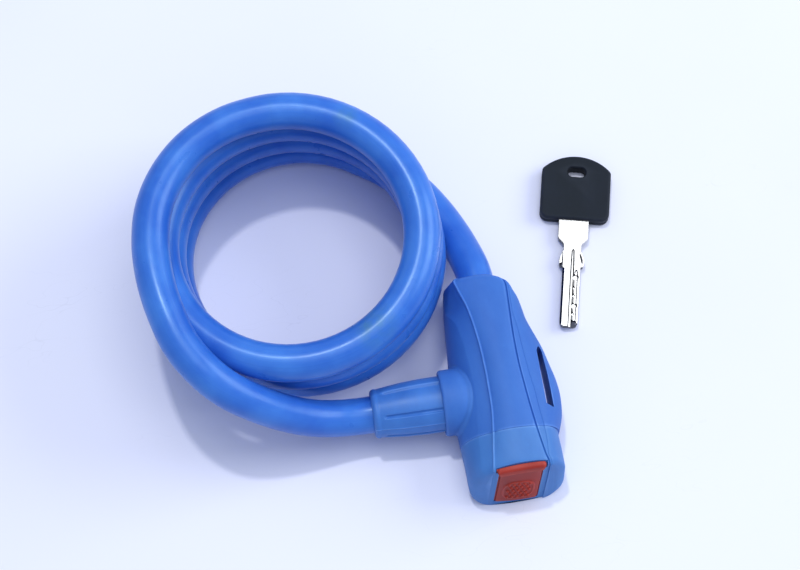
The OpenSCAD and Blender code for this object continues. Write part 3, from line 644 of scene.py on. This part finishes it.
def join(target, *others):
    """Puts the other meshes into the target's own."""
    bm = bmesh.new()
    for obj in (target,) + others:
        bm.from_mesh(obj.data)
    bm.to_mesh(target.data)
    bm.free()
    for obj in others:
        remove(obj)
    return target


fillet = collar_fillet()
socket_bore = bar(BORE_R + 0.05, (-20, PLUG_Y, AXIS_Z), (LOCK_X, PLUG_Y, AXIS_Z))
carve(shell, case_room() + [strap_slot(), rear_gland(), socket_bore] + screw_wells())
shell = join(shell, collar(), fillet)
soften(shell)
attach(shell, "lock")
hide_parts("housing")

# ---- front cap ----

# The cover is rolled a little to the right, about a point at this height
ROLL_DEG, ROLL_Z = 4.8, 9.5
ON_FRONT = (
    Matrix.Translation(Vector((LOCK_X, FRONT_Y, ROLL_Z)) * MM)
    @ Matrix.Rotation(math.radians(ROLL_DEG), 4, "Y")
    @ Matrix.Translation(Vector((0, 0, -ROLL_Z)) * MM)
    @ Matrix.Rotation(-math.atan(FACE_SLANT), 4, "X")
)
TRACK_DEPTH = COVER_T + 0.06
TRACK_HALF = COVER_W / 2 + 0.2
TONGUE_W = 1.0
COVER_FOOT = 2.4
TRACK_TOP = 52.0  # beyond the crown
PANEL_HALF = COVER_W / 2 - 0.35
PANEL_TOP = 24.0
LIP_HALF, LIP_HIGH = 7.75, 3.0
LIP_CORNER_X, LIP_END_HIGH = 6.9, 1.35  # further out the lip is only this high
LIP_ROUND, LIP_ROUND_LEN = 0.35, 0.45  # how its ends are rounded off
POCKET_HALF = 8.35
POCKET_STEPS = 8


def on_front(obj):
    """Stands a piece on the slanted front face: X across, Y inwards and Z up the face."""
    obj.data.transform(ON_FRONT)
    return obj


def front_prism(outline, low, high):
    """A cutter whose outline lies across (x) and into (y) the face, from low to high up it."""
    return on_front(prism(CUTTER, outline, low, high))


def cover_track():
    """Cutters for the track of panel and tongues, the face beside it, and the lip's pocket."""
    half, wide, deep, lip = TRACK_HALF, TRACK_HALF + TONGUE_W, TRACK_DEPTH, COVER_T / 2
    outline = [(-half - 0.25, -2), (half + 0.25, -2), (half + 0.25, 0.28), (half, 0.3), (half, lip),
               (wide, lip), (wide, deep), (-wide, deep), (-wide, lip), (-half, lip), (-half, 0.3),
               (-half - 0.25, 0.28)]
    ledge = half + 1.9
    shoulder = [(-ledge - 0.1, -2), (ledge + 0.1, -2), (ledge, 0.3), (-ledge, 0.3)]
    across = [POCKET_HALF * k / POCKET_STEPS for k in range(-POCKET_STEPS, POCKET_STEPS + 1)]
    pocket = [(x, lip_back(x) + 0.07) for x in across]
    pocket = [(-POCKET_HALF, -2)] + pocket + [(POCKET_HALF, -2)]
    return [
        front_prism(outline, COVER_FOOT - 0.4, TRACK_TOP),
        front_prism(shoulder, -2, TRACK_TOP),
        front_prism(pocket, cover_crown(LIP_HALF) - LIP_HIGH, TRACK_TOP),
    ]


def cover_crown(x):
    """Height of the cover's top edge, which follows the cap's crown."""
    u = x / 8.1
    return 26.0 + 0.65 * u - 1.25 * u * u


def lip_back(x):
    """How far the lip on the cover's top edge reaches back into the cap."""
    return COVER_T + 0.25 * (1 - (x / 8.3) ** 2)


SWELL = 0.6


def swell(obj):
    """Moves the front's middle forward, so that it is a little convex across."""
    for v in obj.data.vertices:
        x, y, z = v.co / MM
        share = max(0.0, 1 - ((x - 2) / 11) ** 2) * smooth((-27.5 - (y - FACE_SLANT * z)) / 6)
        v.co.y -= SWELL * share * MM


cap = cap_shell()
carve(cap, [
    bar(CASE_BORE_R, (LOCK_X, -26.6, AXIS_Z), (LOCK_X, -17, AXIS_Z)),
    bar(6.25, (LOCK_X, FRONT_Y - 1, AXIS_Z), (LOCK_X, -26.5, AXIS_Z)),
    bar(7.1, (LOCK_X, -27.9, AXIS_Z), (LOCK_X, -26.5, AXIS_Z)),
    bar(1.35, (LOCK_X, SEAM_Y - 3, -1), (LOCK_X, SEAM_Y - 3, AXIS_Z)),
] + cover_track())
swell(cap)
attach(cap, "lock")
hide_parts("front_cap")

# ---- keyhole cover ----

PAD_W, PAD_H, PAD_Z, PAD_T = 10.4, 11.4, 10.2, 0.4
DOT_R, DOT_HIGH, DOT_STEP_X, DOT_STEP_Z = 0.58, 0.68, 1.75, 2.1
DOT_SIDES = 12
PANEL_RINGS, LIP_RINGS = 11, 40
CORNER_STEPS = 8
FINE_CREASE_DEG = 40.0


def oval(width, height, radius):
    """A rounded rectangle about the origin."""
    found = []
    for sx, sy, first in ((1, 1, 0), (-1, 1, 90), (-1, -1, 180), (1, -1, 270)):
        for k in range(CORNER_STEPS + 1):
            a = math.radians(first + 90 * k / CORNER_STEPS)
            found.append((sx * (width / 2 - radius) + radius * math.cos(a),
                          sy * (height / 2 - radius) + radius * math.sin(a)))
    return found


def cover_panel():
    """The panel in front of the track and the wider tongues in it, up into the lip."""
    half, wide, step, deep = PANEL_HALF, COVER_W / 2 + TONGUE_W, COVER_T / 2 + 0.06, COVER_T
    front = [(-half, 0.3), (-half + 0.1, 0.1), (-half + 0.35, 0.0), (-half * 0.6, -0.06),
             (-half * 0.2, -0.1)]
    tongue = [(half, step), (wide - 0.08, step), (wide, step + 0.08), (wide, deep - 0.08),
              (wide - 0.08, deep)]
    across = front + [(-x, y) for x, y in front[::-1]] + tongue + [(-x, y) for x, y in tongue[::-1]]
    rings = [[(x * (1 - inset / 9), mix(y, COVER_T / 2, inset / 1.6), COVER_FOOT + z)
              for x, y in across] for z, inset in ((0.0, 0.35), (0.08, 0.15), (0.3, 0.0))]
    rings += [[(x, y, mix(COVER_FOOT + 0.3, PANEL_TOP, k / PANEL_RINGS)) for x, y in across]
              for k in range(1, PANEL_RINGS + 1)]
    return skin("cover_panel", rings, FINE_CREASE_DEG)


def cover_lip():
    """The arched lip along the cover's top edge, thicker and wider than the panel."""
    rings = []
    for k in range(LIP_RINGS + 1):
        x = mix(-LIP_HALF, LIP_HALF, k / LIP_RINGS)
        end = LIP_ROUND * smooth((abs(x) - LIP_HALF + LIP_ROUND_LEN) / LIP_ROUND_LEN)
        high = mix(LIP_HIGH, LIP_END_HIGH, smooth((abs(x) - LIP_CORNER_X) / 0.3))
        top, low = cover_crown(x) - end, cover_crown(x) - high + end / 2
        front, back = -0.8 + end, lip_back(x) - end / 2
        profile = [(back - 0.12, top), (back, top - 0.12), (back, low + 0.1), (back - 0.1, low),
                   (front + 0.2, low), (front, low + 0.2), (front + 0.05, top - 0.95),
                   (front + 0.2, top - 0.55), (front + 0.5, top - 0.25), (front + 0.9, top - 0.06)]
        rings.append([(x, y, z) for y, z in profile])
    return skin("cover_lip", rings, FINE_CREASE_DEG)


def grip_pad():
    """The raised pad with its rows of small domes."""
    bm = bmesh.new()
    floor = -PAD_T + 0.18
    levels = [(0.3, 0.0), (0.12, -PAD_T * 0.55), (0.0, -PAD_T), (-0.45, -PAD_T),
              (-0.6, -PAD_T + 0.16), (-1.2, floor)]
    rings = [[(x, y, PAD_Z + z) for x, z in oval(PAD_W + 2 * grow, PAD_H + 2 * grow, 4.4 + grow)]
             for grow, y in levels]
    bridge(bm, ring_verts(bm, rings))
    for row in range(-2, 3):
        fewer = abs(row) % 2
        for column in range(5 - fewer):
            x = DOT_STEP_X * (column - 2 + fewer / 2)
            z = PAD_Z + DOT_STEP_Z * row
            dome = []
            for tilt in range(5):
                a = math.radians(90 * tilt / 4.6)
                dome.append([(x + DOT_R * math.cos(a) * math.cos(b), floor - DOT_HIGH * math.sin(a),
                              z + DOT_R * math.cos(a) * math.sin(b)) for b in angles(DOT_SIDES)])
            bridge(bm, ring_verts(bm, dome))
    return new_object("grip_pad", bm, FINE_CREASE_DEG)


cover = on_front(join(cover_panel(), cover_lip(), grip_pad()))
swell(cover)
cover.name = "keyhole_cover_skin"
soften(cover, FINE_CREASE_DEG)
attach(cover, "cover")
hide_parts("keyhole_cover")

# ---- plug sleeve ----

FLUTE_DEG = (32, 92, 152, 212, 272, 332)
FLUTE_DEPTH = 0.75
SEAM_DEG = -59
SEAM_HIGH = 0.22
SLEEVE_SIDES = 240
# (share of the length, radius) of the hole, from its cable end
SLEEVE_HOLE = [
    (1.0, 6.55), (0.992, 6.2), (0.98, 6.1), (0.92, 6.1), (0.9, 6.02), (0.08, 6.02), (0.065, 7.1),
    (0.012, 7.1), (0.0, 7.3),
]


def wrapped(angle):
    return (angle + 180) % 360 - 180


def sleeve_radius(t, degrees):
    """Radius of the sleeve at a share t of its length from the socket end."""
    radius = mix(SLEEVE_R, SLEEVE_TAIL_R, t) + 0.5 * math.sin(math.pi * t)
    run = smooth(t / 0.05) * smooth((0.86 - t) / 0.06)
    for middle in FLUTE_DEG:
        off = wrapped(degrees - middle)
        radius -= FLUTE_DEPTH * run * smooth((off + 4.5) / 1.5) * smooth((6.0 - off) / 6.0)
    off = wrapped(degrees - SEAM_DEG)
    radius += SEAM_HIGH * smooth(1 - abs(off) / 2.2)
    if t > 0.9:
        radius += 0.25 * smooth((t - 0.9) / 0.04)
    return radius


def sleeve_ring(t, radius_of):
    """The ring at a share t of the length, with a radius that depends on the angle."""
    found = []
    for k in range(SLEEVE_SIDES):
        degrees = 360 * k / SLEEVE_SIDES
        a, r = math.radians(degrees), radius_of(degrees)
        found.append((SLEEVE_X - SLEEVE_LEN * t, PLUG_Y + r * math.sin(a),
                      AXIS_Z + r * math.cos(a)))
    return found


def sleeve():
    """The sleeve's outside, drawn in at its rounded ends, and the hole through it."""
    rows = [(0.0, 0.55), (0.003, 0.3), (0.01, 0.1), (0.022, 0.0)]
    rows += [(mix(0.03, 0.95, k / 60), 0.0) for k in range(61)]
    rows += [(0.965, 0.06), (0.98, 0.22), (0.992, 0.5), (1.0, 0.95)]
    rings = [sleeve_ring(t, lambda deg: sleeve_radius(t, deg) - inset) for t, inset in rows]
    rings += [sleeve_ring(t, lambda deg: radius) for t, radius in SLEEVE_HOLE]
    bm = bmesh.new()
    loops = ring_verts(bm, rings)
    bridge(bm, loops + [loops[0]], capped=False)
    return new_object("plug_sleeve_skin", bm, FINE_CREASE_DEG)


sleeve_skin = sleeve()
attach(sleeve_skin, "plug")
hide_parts("plug_sleeve")

# ---- key ----

KEY_TIP, KEY_TURN_DEG = (28.1, 20.2, 0), -13.5
KEY_AT = (Matrix.Translation(Vector(KEY_TIP) * MM)
          @ Matrix.Rotation(math.radians(KEY_TURN_DEG), 4, "Z"))
KEY_LEN = 61.6
HEAD_LEN, HEAD_W, HEAD_T = 23.3, 23.6, 5.0
HEAD_FOOT = KEY_LEN - HEAD_LEN
BLADE_W, BLADE_T, BLADE_MID = 6.0, 2.2, HEAD_T / 2
BLADE_TOP = BLADE_MID + BLADE_T / 2
HOLE_W, HOLE_H = 6.0, 3.3
HOLE_INSET = 6  # from the head's top to the middle of the ring hole
TENON_HALF, TENON_LEN = 5.12, 12.02
CIRCLE_SIDES = 24


def placed_key(obj):
    obj.data.transform(KEY_AT)
    return obj


def circle(x, y, radius):
    return [(x + radius * math.cos(a), y + radius * math.sin(a)) for a in angles(CIRCLE_SIDES)]


def grown(outline, distance):
    """An outline, which runs anticlockwise, moved outwards by a distance."""
    found = []
    for before, here, after in zip(outline[-1:] + outline, outline, outline[1:] + outline[:1]):
        a = (Vector(here) - Vector(before)).normalized()
        b = (Vector(after) - Vector(here)).normalized()
        out = Vector((a.y + b.y, -a.x - b.x)) / max(1 + a.dot(b), 0.5)
        found.append((here[0] + out.x * distance, here[1] + out.y * distance))
    return found


def milled_cut(outline, depth, slope):
    """A cutter into the blade's top whose walls lean out by slope."""
    levels = [(0.0, BLADE_TOP - depth), (slope, BLADE_TOP), (slope, BLADE_TOP + 1)]
    return skin(CUTTER, [[(x, y, z) for x, y in grown(outline, grow)] for grow, z in levels])


def key_blade():
    """The flat blade. A face attribute is 1 on its steep walls, bar the right side, and its deep
    floors, for painted shade.
    """
    half, shank = BLADE_W / 2, 5.1
    ear = [(half, 21.2), (3.9, 21.5), (4.3, 22.4), (4.25, 23.6), (3.9, 25.2), (3.35, 26.6),
           (half, 27.1)]
    right = [(half - 1.3, 0), (half - 0.5, 0.35), (half, 1.3)] + ear
    right += [(half, 29.3), (half + 0.3, 29.8), (shank - 0.4, 31.2), (shank, 31.9),
              (shank, HEAD_FOOT + 12)]
    outline = right + [(-x, y) for x, y in right[::-1]]
    blade = prism("key_blade_skin", outline, BLADE_MID - BLADE_T / 2, BLADE_TOP)
    bevel = blade.modifiers.new("chamfer", "BEVEL")
    bevel.width = 0.1 * MM
    bevel.segments = 1
    bevel.limit_method = "ANGLE"
    bevel.angle_limit = math.radians(40.0)
    bake(blade)
    soften(blade)
    groove = [(0.05, -1), (0.6, -1), (0.6, 16), (0.5, 23), (0.36, 27.3), (0.28, 27.5),
              (0.18, 27.0), (0.08, 23), (0.05, 16)]
    track = [(1.4, -1), (2.0, -1), (2.0, 19.2), (1.8, 20.0), (1.6, 20.0), (1.4, 19.4)]
    tip_notch = [(0.95, -1), (2.6, -1), (2.6, 1.2), (2.1, 2.3), (1.2, 2.3), (0.95, 1.6)]
    # (x, y, radius)
    bites = [(1.45, 17.7, 0.75), (1.25, 13.9, 0.3), (1.25, 11.1, 0.35), (1.4, 7.5, 0.75),
             (1.2, 4.6, 0.35)]
    # Clockwise, so that the walls of this cut lean in
    right_ear = [(2.6, 26.6), (3.3, 25.5), (3.8, 24.0), (3.85, 22.8), (3.6, 22.1), (3.1, 22.8),
                 (2.75, 24.2), (2.35, 25.8)]
    left_ear = [(-4.0, 21.7), (-3.1, 21.5), (-3.05, 22.6), (-3.1, 26.3), (-3.2, 26.3),
                (-3.3, 22.6), (-4.0, 22.3)]
    slope = [(-half - 0.3, -0.95), (-half + 0.75, 0.08), (-half - 0.3, 0.1)]
    left_edge = skin(CUTTER, [[(x, y, BLADE_TOP + z) for x, z in slope] for y in (-1, 20.9)])
    carve(blade, [milled_cut(groove, 0.5, 0.42), milled_cut(track, 0.6, 0.3),
                  milled_cut(tip_notch, 1.3, 0.12), milled_cut(left_ear, 1.15, 0.1),
                  milled_cut(right_ear, 1.15, 0.15), left_edge]
          + [milled_cut(circle(*bite), 1.0, 0.45) for bite in bites])
    blade.data.shade_flat()
    # Painted shade: the steep walls, bar the outer right side, and the deep floors are marked to be
    # drawn dark
    milled = blade.data.attributes.new("milled", "FLOAT", "FACE")
    for face in blade.data.polygons:
        steep = abs(face.normal.z) < 0.75
        outer_right = face.normal.x > 0.5 and face.center.x > (half - 0.15) * MM
        deep = face.normal.z > 0.9 and face.center.z < (BLADE_TOP - 1.1) * MM
        milled.data[face.index].value = float((steep and not outer_right) or deep)
    return blade


def arc(x, y, radius, start, end, count):
    """Points on an arc about (x, y), both ends among them."""
    return [(x + radius * math.cos(a), y + radius * math.sin(a))
            for a in (mix(start, end, k / count) for k in range(count + 1))]


def head_outline(grow):
    """The key head's outline: straight sides, rounded corners and an arched top."""
    half, corner, tip, arch = HEAD_W / 2, 2.8, 1.8, 16.0
    arch_y = HEAD_LEN - arch
    tip_y = arch_y + math.sqrt((arch - tip) ** 2 - (half - tip) ** 2)
    turn = math.atan2(tip_y - arch_y, half - tip)
    found = arc(half - corner, corner, corner + grow, -math.pi / 2, 0, 7)
    found += [(half + grow, mix(corner, tip_y, t)) for t in (0.25, 0.5, 0.75)]
    found += arc(half - tip, tip_y, tip + grow, 0, turn, 6)
    found += arc(0, arch_y, arch + grow, turn, math.pi / 2, 14)[1:]
    return found + [(-x, y) for x, y in found[:-1][::-1]]


def key_head():
    """The moulded head, with rounded edges and a dished rim about the ring hole."""
    levels = [(-1.1, 0.0), (-0.45, 0.1), (-0.12, 0.4), (0.0, 0.9), (0.0, 2.3), (-0.08, 2.42),
              (-0.08, 2.58), (0.0, 2.7), (0.0, 4.1), (-0.15, 4.6), (-0.5, 4.9), (-1.0, HEAD_T),
              (-1.5, HEAD_T)]
    rings = [[(x, HEAD_FOOT + y, z) for x, y in head_outline(grow)] for grow, z in levels]
    head = skin("key_head_skin", rings, 50.0)
    levels = [(0.7, -0.5), (0.45, 0.0), (0.1, 0.35), (0.0, 0.8), (0.0, 4.2), (0.1, 4.65),
              (0.45, HEAD_T), (0.7, 5.5)]
    rings = [[(x, HEAD_FOOT + HEAD_LEN - HOLE_INSET + y, z)
              for x, y in oval(HOLE_W + 2 * grow, HOLE_H + 2 * grow, 1.64 + grow)]
             for grow, z in levels]
    tenon_room = box((-TENON_HALF, HEAD_FOOT - 1, BLADE_MID - BLADE_T / 2 - 0.02),
                     (TENON_HALF, HEAD_FOOT + TENON_LEN, BLADE_TOP + 0.02))
    return carve(head, [skin(CUTTER, rings), tenon_room], FINE_CREASE_DEG)


blade_skin, head_skin = placed_key(key_blade()), placed_key(key_head())
for piece, node, slot in ((blade_skin, "key_blade", "nickel_silver"),
                          (head_skin, "key_head", "key_plastic")):
    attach(piece, "key")
    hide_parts(node)


# ---- materials ----

class Paint:
    """A material's node tree round one Principled shader."""

    def __init__(self, name, **fixed):
        self.material = bpy.data.materials.new(name)
        self.material.use_nodes = True
        self.tree = self.material.node_tree
        self.shader = self.tree.nodes["Principled BSDF"]
        for socket, value in fixed.items():
            self.shader.inputs[socket.replace("_", " ")].default_value = value
        self.place = self.add("TexCoord").outputs["Object"]

    def add(self, kind, settings=None, **inputs):
        node = self.tree.nodes.new("ShaderNode" + kind)
        for key, value in (settings or {}).items():
            setattr(node, key, value)
        for key, value in inputs.items():
            socket = node.inputs[int(key[1:]) if key[0] == "i" and key[1:].isdigit() else key]
            if isinstance(value, bpy.types.NodeSocket):
                self.tree.links.new(value, socket)
            else:
                socket.default_value = value
        return node

    def noise(self, scale, detail=3.0, roughness=0.5, vector=None):
        return self.add("TexNoise", Vector=vector or self.place, Scale=scale, Detail=detail,
                        Roughness=roughness).outputs["Fac"]

    def stretched(self, x, y, z, vector=None):
        return self.add("Mapping", Vector=vector or self.place, Scale=(x, y, z)).outputs["Vector"]

    def fit(self, value, low, high, to_low=0.0, to_high=1.0):
        """Value's range from low to high, made to run from to_low to to_high."""
        return self.add("MapRange", {"clamp": True}, i0=value, i1=low, i2=high, i3=to_low,
                        i4=to_high).outputs[0]

    def attribute(self, name):
        return self.add("Attribute", {"attribute_name": name}).outputs["Fac"]

    def math(self, operation, a, b=0.0):
        return self.add("Math", {"operation": operation}, i0=a, i1=b).outputs[0]

    def times(self, a, b):
        return self.math("MULTIPLY", a, b)

    def blend(self, share, a, b):
        """Colour a where share is 0 and b where it is 1."""
        return self.add("Mix", {"data_type": "RGBA"}, i0=share, i6=a, i7=b).outputs[2]

    def near(self, point, radius):
        """1 about a point of the part, falling to 0 at radius, both in millimetres."""
        gap = self.add("VectorMath", {"operation": "DISTANCE"}, i0=self.place,
                       i1=tuple(Vector(point) * MM)).outputs["Value"]
        return self.fit(gap, radius * MM * 0.25, radius * MM, 1.0, 0.0)

    def bump(self, height, strength, distance):
        return self.add("Bump", Height=height, Strength=strength,
                        Distance=distance * MM).outputs["Normal"]

    def use(self, **links):
        for socket, value in links.items():
            self.tree.links.new(value, self.shader.inputs[socket.replace("_", " ")])
        return self.material


def rgb(red, green, blue):
    """A colour given as it looks on a screen, from 0 to 255."""
    linear = [((c / 255 + 0.055) / 1.055) ** 2.4 if c > 10 else c / 255 / 12.92
              for c in (red, green, blue)]
    return (*linear, 1.0)


BLUE_SCATTER = (0.3, 0.6, 1.0)


def vinyl():
    """Glossy, slightly cloudy blue vinyl, with extrusion lines, scuffs and a faint stain."""
    paint = Paint("blue_vinyl", IOR=1.5, Coat_Weight=0.08, Coat_Roughness=0.2,
                  Specular_Tint=(0.55, 0.85, 1.0, 1.0), Subsurface_Weight=0.25,
                  Subsurface_Scale=0.002, Subsurface_Radius=BLUE_SCATTER)
    along, around = paint.attribute("along"), paint.attribute("around")
    laid = paint.add("CombineXYZ", X=paint.times(along, 6.0),
                     Y=paint.times(around, 60.0)).outputs["Vector"]
    lines = paint.noise(1.0, 2.0, 0.5, laid)
    cloud = paint.noise(55.0, 3.0, 0.55)
    base = paint.blend(paint.fit(cloud, 0.35, 0.65), rgb(42, 99, 198), rgb(62, 123, 214))
    base = paint.blend(paint.fit(lines, 0.3, 0.8, 0.0, 0.25), base, rgb(28, 84, 180))
    stain = paint.math("MAXIMUM", paint.near((-38, 17, 45), 9), paint.near((-36, 87, 50), 5))
    stain = paint.times(stain, paint.fit(paint.noise(260.0), 0.35, 0.7, 0.1, 0.5))
    base = paint.blend(stain, base, rgb(70, 120, 130))
    edge = paint.math("MAXIMUM", paint.near((-113, 47, 44), 11), paint.near((-112, 32, 41), 10))
    flakes = paint.noise(420.0, 5.0, 0.7, paint.stretched(1.0, 0.45, 1.0))
    scuff = paint.times(edge, paint.fit(flakes, 0.56, 0.62))
    base = paint.blend(paint.times(scuff, 0.5), base, rgb(196, 206, 222))
    gloss = paint.fit(paint.noise(140.0, 4.0), 0.3, 0.7, 0.27, 0.37)
    gloss = paint.math("ADD", gloss, paint.times(scuff, 0.3))
    height = paint.math("ADD", paint.times(lines, 0.6), paint.times(scuff, -0.4))
    return paint.use(Base_Color=base, Roughness=gloss, Normal=paint.bump(height, 0.25, 0.06))


def moulded(name, light, dark, edge_wear_and_highlight, rough=0.55, grain=0.1, subsurface=0.12, shine=0.3,
            tint=(0.7, 0.9, 1.0, 1.0)):
    """Moulded plastic: a fine eroded grain, faint flow clouds and scratches, and lighter edges that
    are partly rubbed wear and partly painted highlight.
    """
    light, dark, edge_wear_and_highlight = rgb(*light), rgb(*dark), rgb(*edge_wear_and_highlight)
    paint = Paint(name, IOR=1.48, Specular_IOR_Level=shine, Specular_Tint=tint,
                  Subsurface_Weight=subsurface, Subsurface_Scale=0.0012,
                  Subsurface_Radius=BLUE_SCATTER)
    cloud = paint.noise(70.0, 4.0, 0.6, paint.stretched(1.0, 0.5, 1.0))
    base = paint.blend(paint.fit(cloud, 0.32, 0.68), dark, light)
    speck = paint.fit(paint.noise(900.0, 2.0), 0.62, 0.72, 0.0, 0.18)
    base = paint.blend(speck, base, light)
    # Edges that stand out are drawn lighter: partly rubbed wear, partly a painted highlight on
    # creases, beads and domes
    rubbed_and_highlit = paint.times(paint.fit(paint.attribute("standing_out"), 0.515, 0.56, 0.0, 0.45),
                         paint.fit(paint.noise(220.0, 3.0), 0.3, 0.6, 0.4, 1.0))
    base = paint.blend(rubbed_and_highlit, base, edge_wear_and_highlight)
    fine = paint.noise(2600.0, 2.0, 0.6)
    scratch = paint.noise(500.0, 2.0, 0.5, paint.stretched(0.08, 1.0, 1.0))
    scratch = paint.fit(scratch, 0.66, 0.8)
    gloss = paint.math("ADD", paint.fit(cloud, 0.3, 0.7, rough - 0.05, rough + 0.06),
                       paint.times(scratch, -0.03))
    height = paint.math("ADD", fine, paint.times(scratch, -0.02))
    return paint.use(Base_Color=base, Roughness=gloss, Normal=paint.bump(height, grain, 0.05))


def metal(name, light, dark, rough=0.3, lay=(1.0, 1.0, 1.0), scale=900.0, marks=0.15, cut=False):
    """Metal with the lay of its machining, slight tarnish and, with cut, painted shade on the
    blade's marked walls and floors.
    """
    light, dark = rgb(*light), rgb(*dark)
    paint = Paint(name, Metallic=1.0)
    lines = paint.noise(scale, 3.0, 0.6, paint.stretched(*lay))
    tarnish = paint.noise(180.0, 4.0, 0.6)
    base = paint.blend(paint.fit(tarnish, 0.35, 0.7), light, dark)
    base = paint.blend(paint.fit(lines, 0.4, 0.75, 0.0, 0.25), base, dark)
    if cut:
        # Painted shade on the steep walls and deep floors that the blade marks
        base = paint.blend(paint.attribute("milled"), base, rgb(52, 54, 64))
    gloss = paint.fit(lines, 0.3, 0.7, rough - 0.08, rough + 0.1)
    return paint.use(Base_Color=base, Roughness=gloss, Normal=paint.bump(lines, marks, 0.02))


def mark_edges(obj):
    """Marks how far each vertex stands out from those around it, 0.5 on a flat, for the lighter
    edges: wear and painted highlight.
    """
    bm = bmesh.new()
    bm.from_mesh(obj.data)
    near = [[edge.other_vert(v) for edge in v.link_edges] for v in bm.verts]
    lean = []
    for v, others in zip(bm.verts, near):
        mean = sum(((other.co - v.co).normalized() for other in others), Vector())
        mean = mean / max(1, len(others))
        lean.append(math.acos(max(-1.0, min(1.0, v.normal.dot(mean)))) / math.pi)
    even = [(lean[k] + sum(lean[other.index] for other in others)) / (1 + len(others))
            for k, others in enumerate(near)]
    bm.free()
    obj.data.attributes.new("standing_out", "FLOAT", "POINT").data.foreach_set("value", even)


def paint_piece(obj, material):
    obj.data.materials.clear()
    obj.data.materials.append(material)


SHEATH = vinyl()
# The third colour of each moulded plastic is its lighter edge colour: partly wear, partly painted
# highlight
HOUSING = moulded("housing_plastic", (59, 112, 195), (49, 99, 183), (120, 168, 240), shine=0.4)
CAP = moulded("cap_plastic", (66, 124, 198), (55, 109, 183), (125, 172, 236), shine=0.62)
SLEEVE = moulded("sleeve_plastic", (64, 122, 204), (52, 104, 184), (124, 172, 238), 0.42,
                 shine=0.5)
COVER = moulded("cover_plastic", (160, 44, 34), (135, 34, 27), (205, 84, 70), 0.5,
                tint=(1.0, 1.0, 1.0, 1.0))
KEY_BLACK = moulded("key_plastic", (32, 36, 46), (24, 27, 35), (58, 63, 74), 0.6, 0.4, 0.0, 0.18)
# The blade's walls and deep floors carry painted shade
NICKEL = metal("nickel_silver", (222, 222, 221), (206, 205, 203), 0.2, (1.0, 0.06, 1.0), 1400.0,
               0.1, True)
# By slot: name, light and dark colour, roughness, and the marks' lay, scale and depth
METALS = {slot: metal(*look) for slot, look in {
    "cast_zinc": ("cast_zinc", (190, 192, 196), (150, 152, 158), 0.5, (1, 1, 1), 500.0, 0.4),
    "brass": ("machined_brass", (226, 190, 112), (190, 150, 80), 0.28, (1.0, 0.1, 1.0), 1500.0),
    "plated_steel": ("plated_steel", (214, 216, 220), (170, 172, 178), 0.28, (0.1, 1.0, 1.0),
                     1500.0),
    "spring_steel": ("spring_steel", (150, 152, 158), (96, 98, 104), 0.35, (1, 1, 1), 1500.0),
    "steel_rope": ("steel_rope", (190, 192, 196), (110, 112, 118), 0.35, (0.4, 1.0, 1.0), 900.0,
                   0.6),
}.items()}

for piece, material in ((main_cable, SHEATH), (lead_cable, SHEATH), (shell, HOUSING),
                        (cap, CAP), (cover, COVER), (sleeve_skin, SLEEVE),
                        (blade_skin, NICKEL), (head_skin, KEY_BLACK)):
    paint_piece(piece, material)
for piece in (shell, cap, cover, sleeve_skin, head_skin):
    mark_edges(piece)

for part in frame["record"]["subparts"]:
    if not nodes[part["node"]].hide_render:
        paint_piece(nodes[part["node"]], METALS[part["material_slot"]])


# ---- floor and light ----

def add_floor():
    """A pale floor with faint clouds and a few fine hairlines."""
    bm = bmesh.new()
    bmesh.ops.create_grid(bm, x_segments=4, y_segments=4, size=3000)
    floor = new_object("floor", bm)
    paint = Paint("pale_floor")
    cloud = paint.noise(6.0, 4.0, 0.5)
    base = paint.blend(paint.fit(cloud, 0.35, 0.65), rgb(219, 224, 246), rgb(223, 228, 248))
    hair = paint.noise(34.0, 2.0, 0.4, paint.stretched(1.0, 3.0, 1.0))
    hair = paint.math("ABSOLUTE", paint.math("SUBTRACT", hair, 0.5))
    thin = paint.fit(hair, 0.0, 0.0022, 0.10, 0.0)
    here = paint.fit(paint.noise(11.0, 1.0), 0.5, 0.62)
    base = paint.blend(paint.times(thin, here), base, rgb(150, 156, 178))
    paint_piece(floor, paint.use(Base_Color=base, Roughness=paint.fit(cloud, 0.3, 0.7, 0.45, 0.55)))


def add_light(name, at_mm, aim_mm, size_mm, watts, colour):
    data = bpy.data.lights.new(name, "AREA")
    data.shape = "RECTANGLE"
    data.size, data.size_y = size_mm[0] * MM, size_mm[1] * MM
    data.energy = watts
    data.color = colour
    lamp = bpy.data.objects.new(name, data)
    lamp.location = Vector(at_mm) * MM
    lamp.rotation_euler = (Vector(aim_mm) * MM - lamp.location).to_track_quat("-Z", "Y").to_euler()
    lamp.visible_camera = False
    bpy.context.scene.collection.objects.link(lamp)


def add_world():
    world = bpy.data.worlds.new("studio")
    world.use_nodes = True
    sky = world.node_tree.nodes["Background"]
    sky.inputs["Color"].default_value = (0.80, 0.86, 1.0, 1.0)
    sky.inputs["Strength"].default_value = 0.6
    bpy.context.scene.world = world


MIDDLE = (-30, 30, 15)
add_floor()
add_light("key_light", (-145, 435, 1500), MIDDLE, (75, 75), 5.8, (1.0, 0.98, 0.97))
add_light("overhead_softbox", (140, 60, 1300), MIDDLE, (900, 700), 4.6, (0.95, 0.97, 1.0))
add_light("right_softbox", (1300, 200, 900), MIDDLE, (900, 900), 12.0, (1.0, 1.0, 1.0))
add_world()
bpy.context.scene.view_settings.view_transform = "Standard"
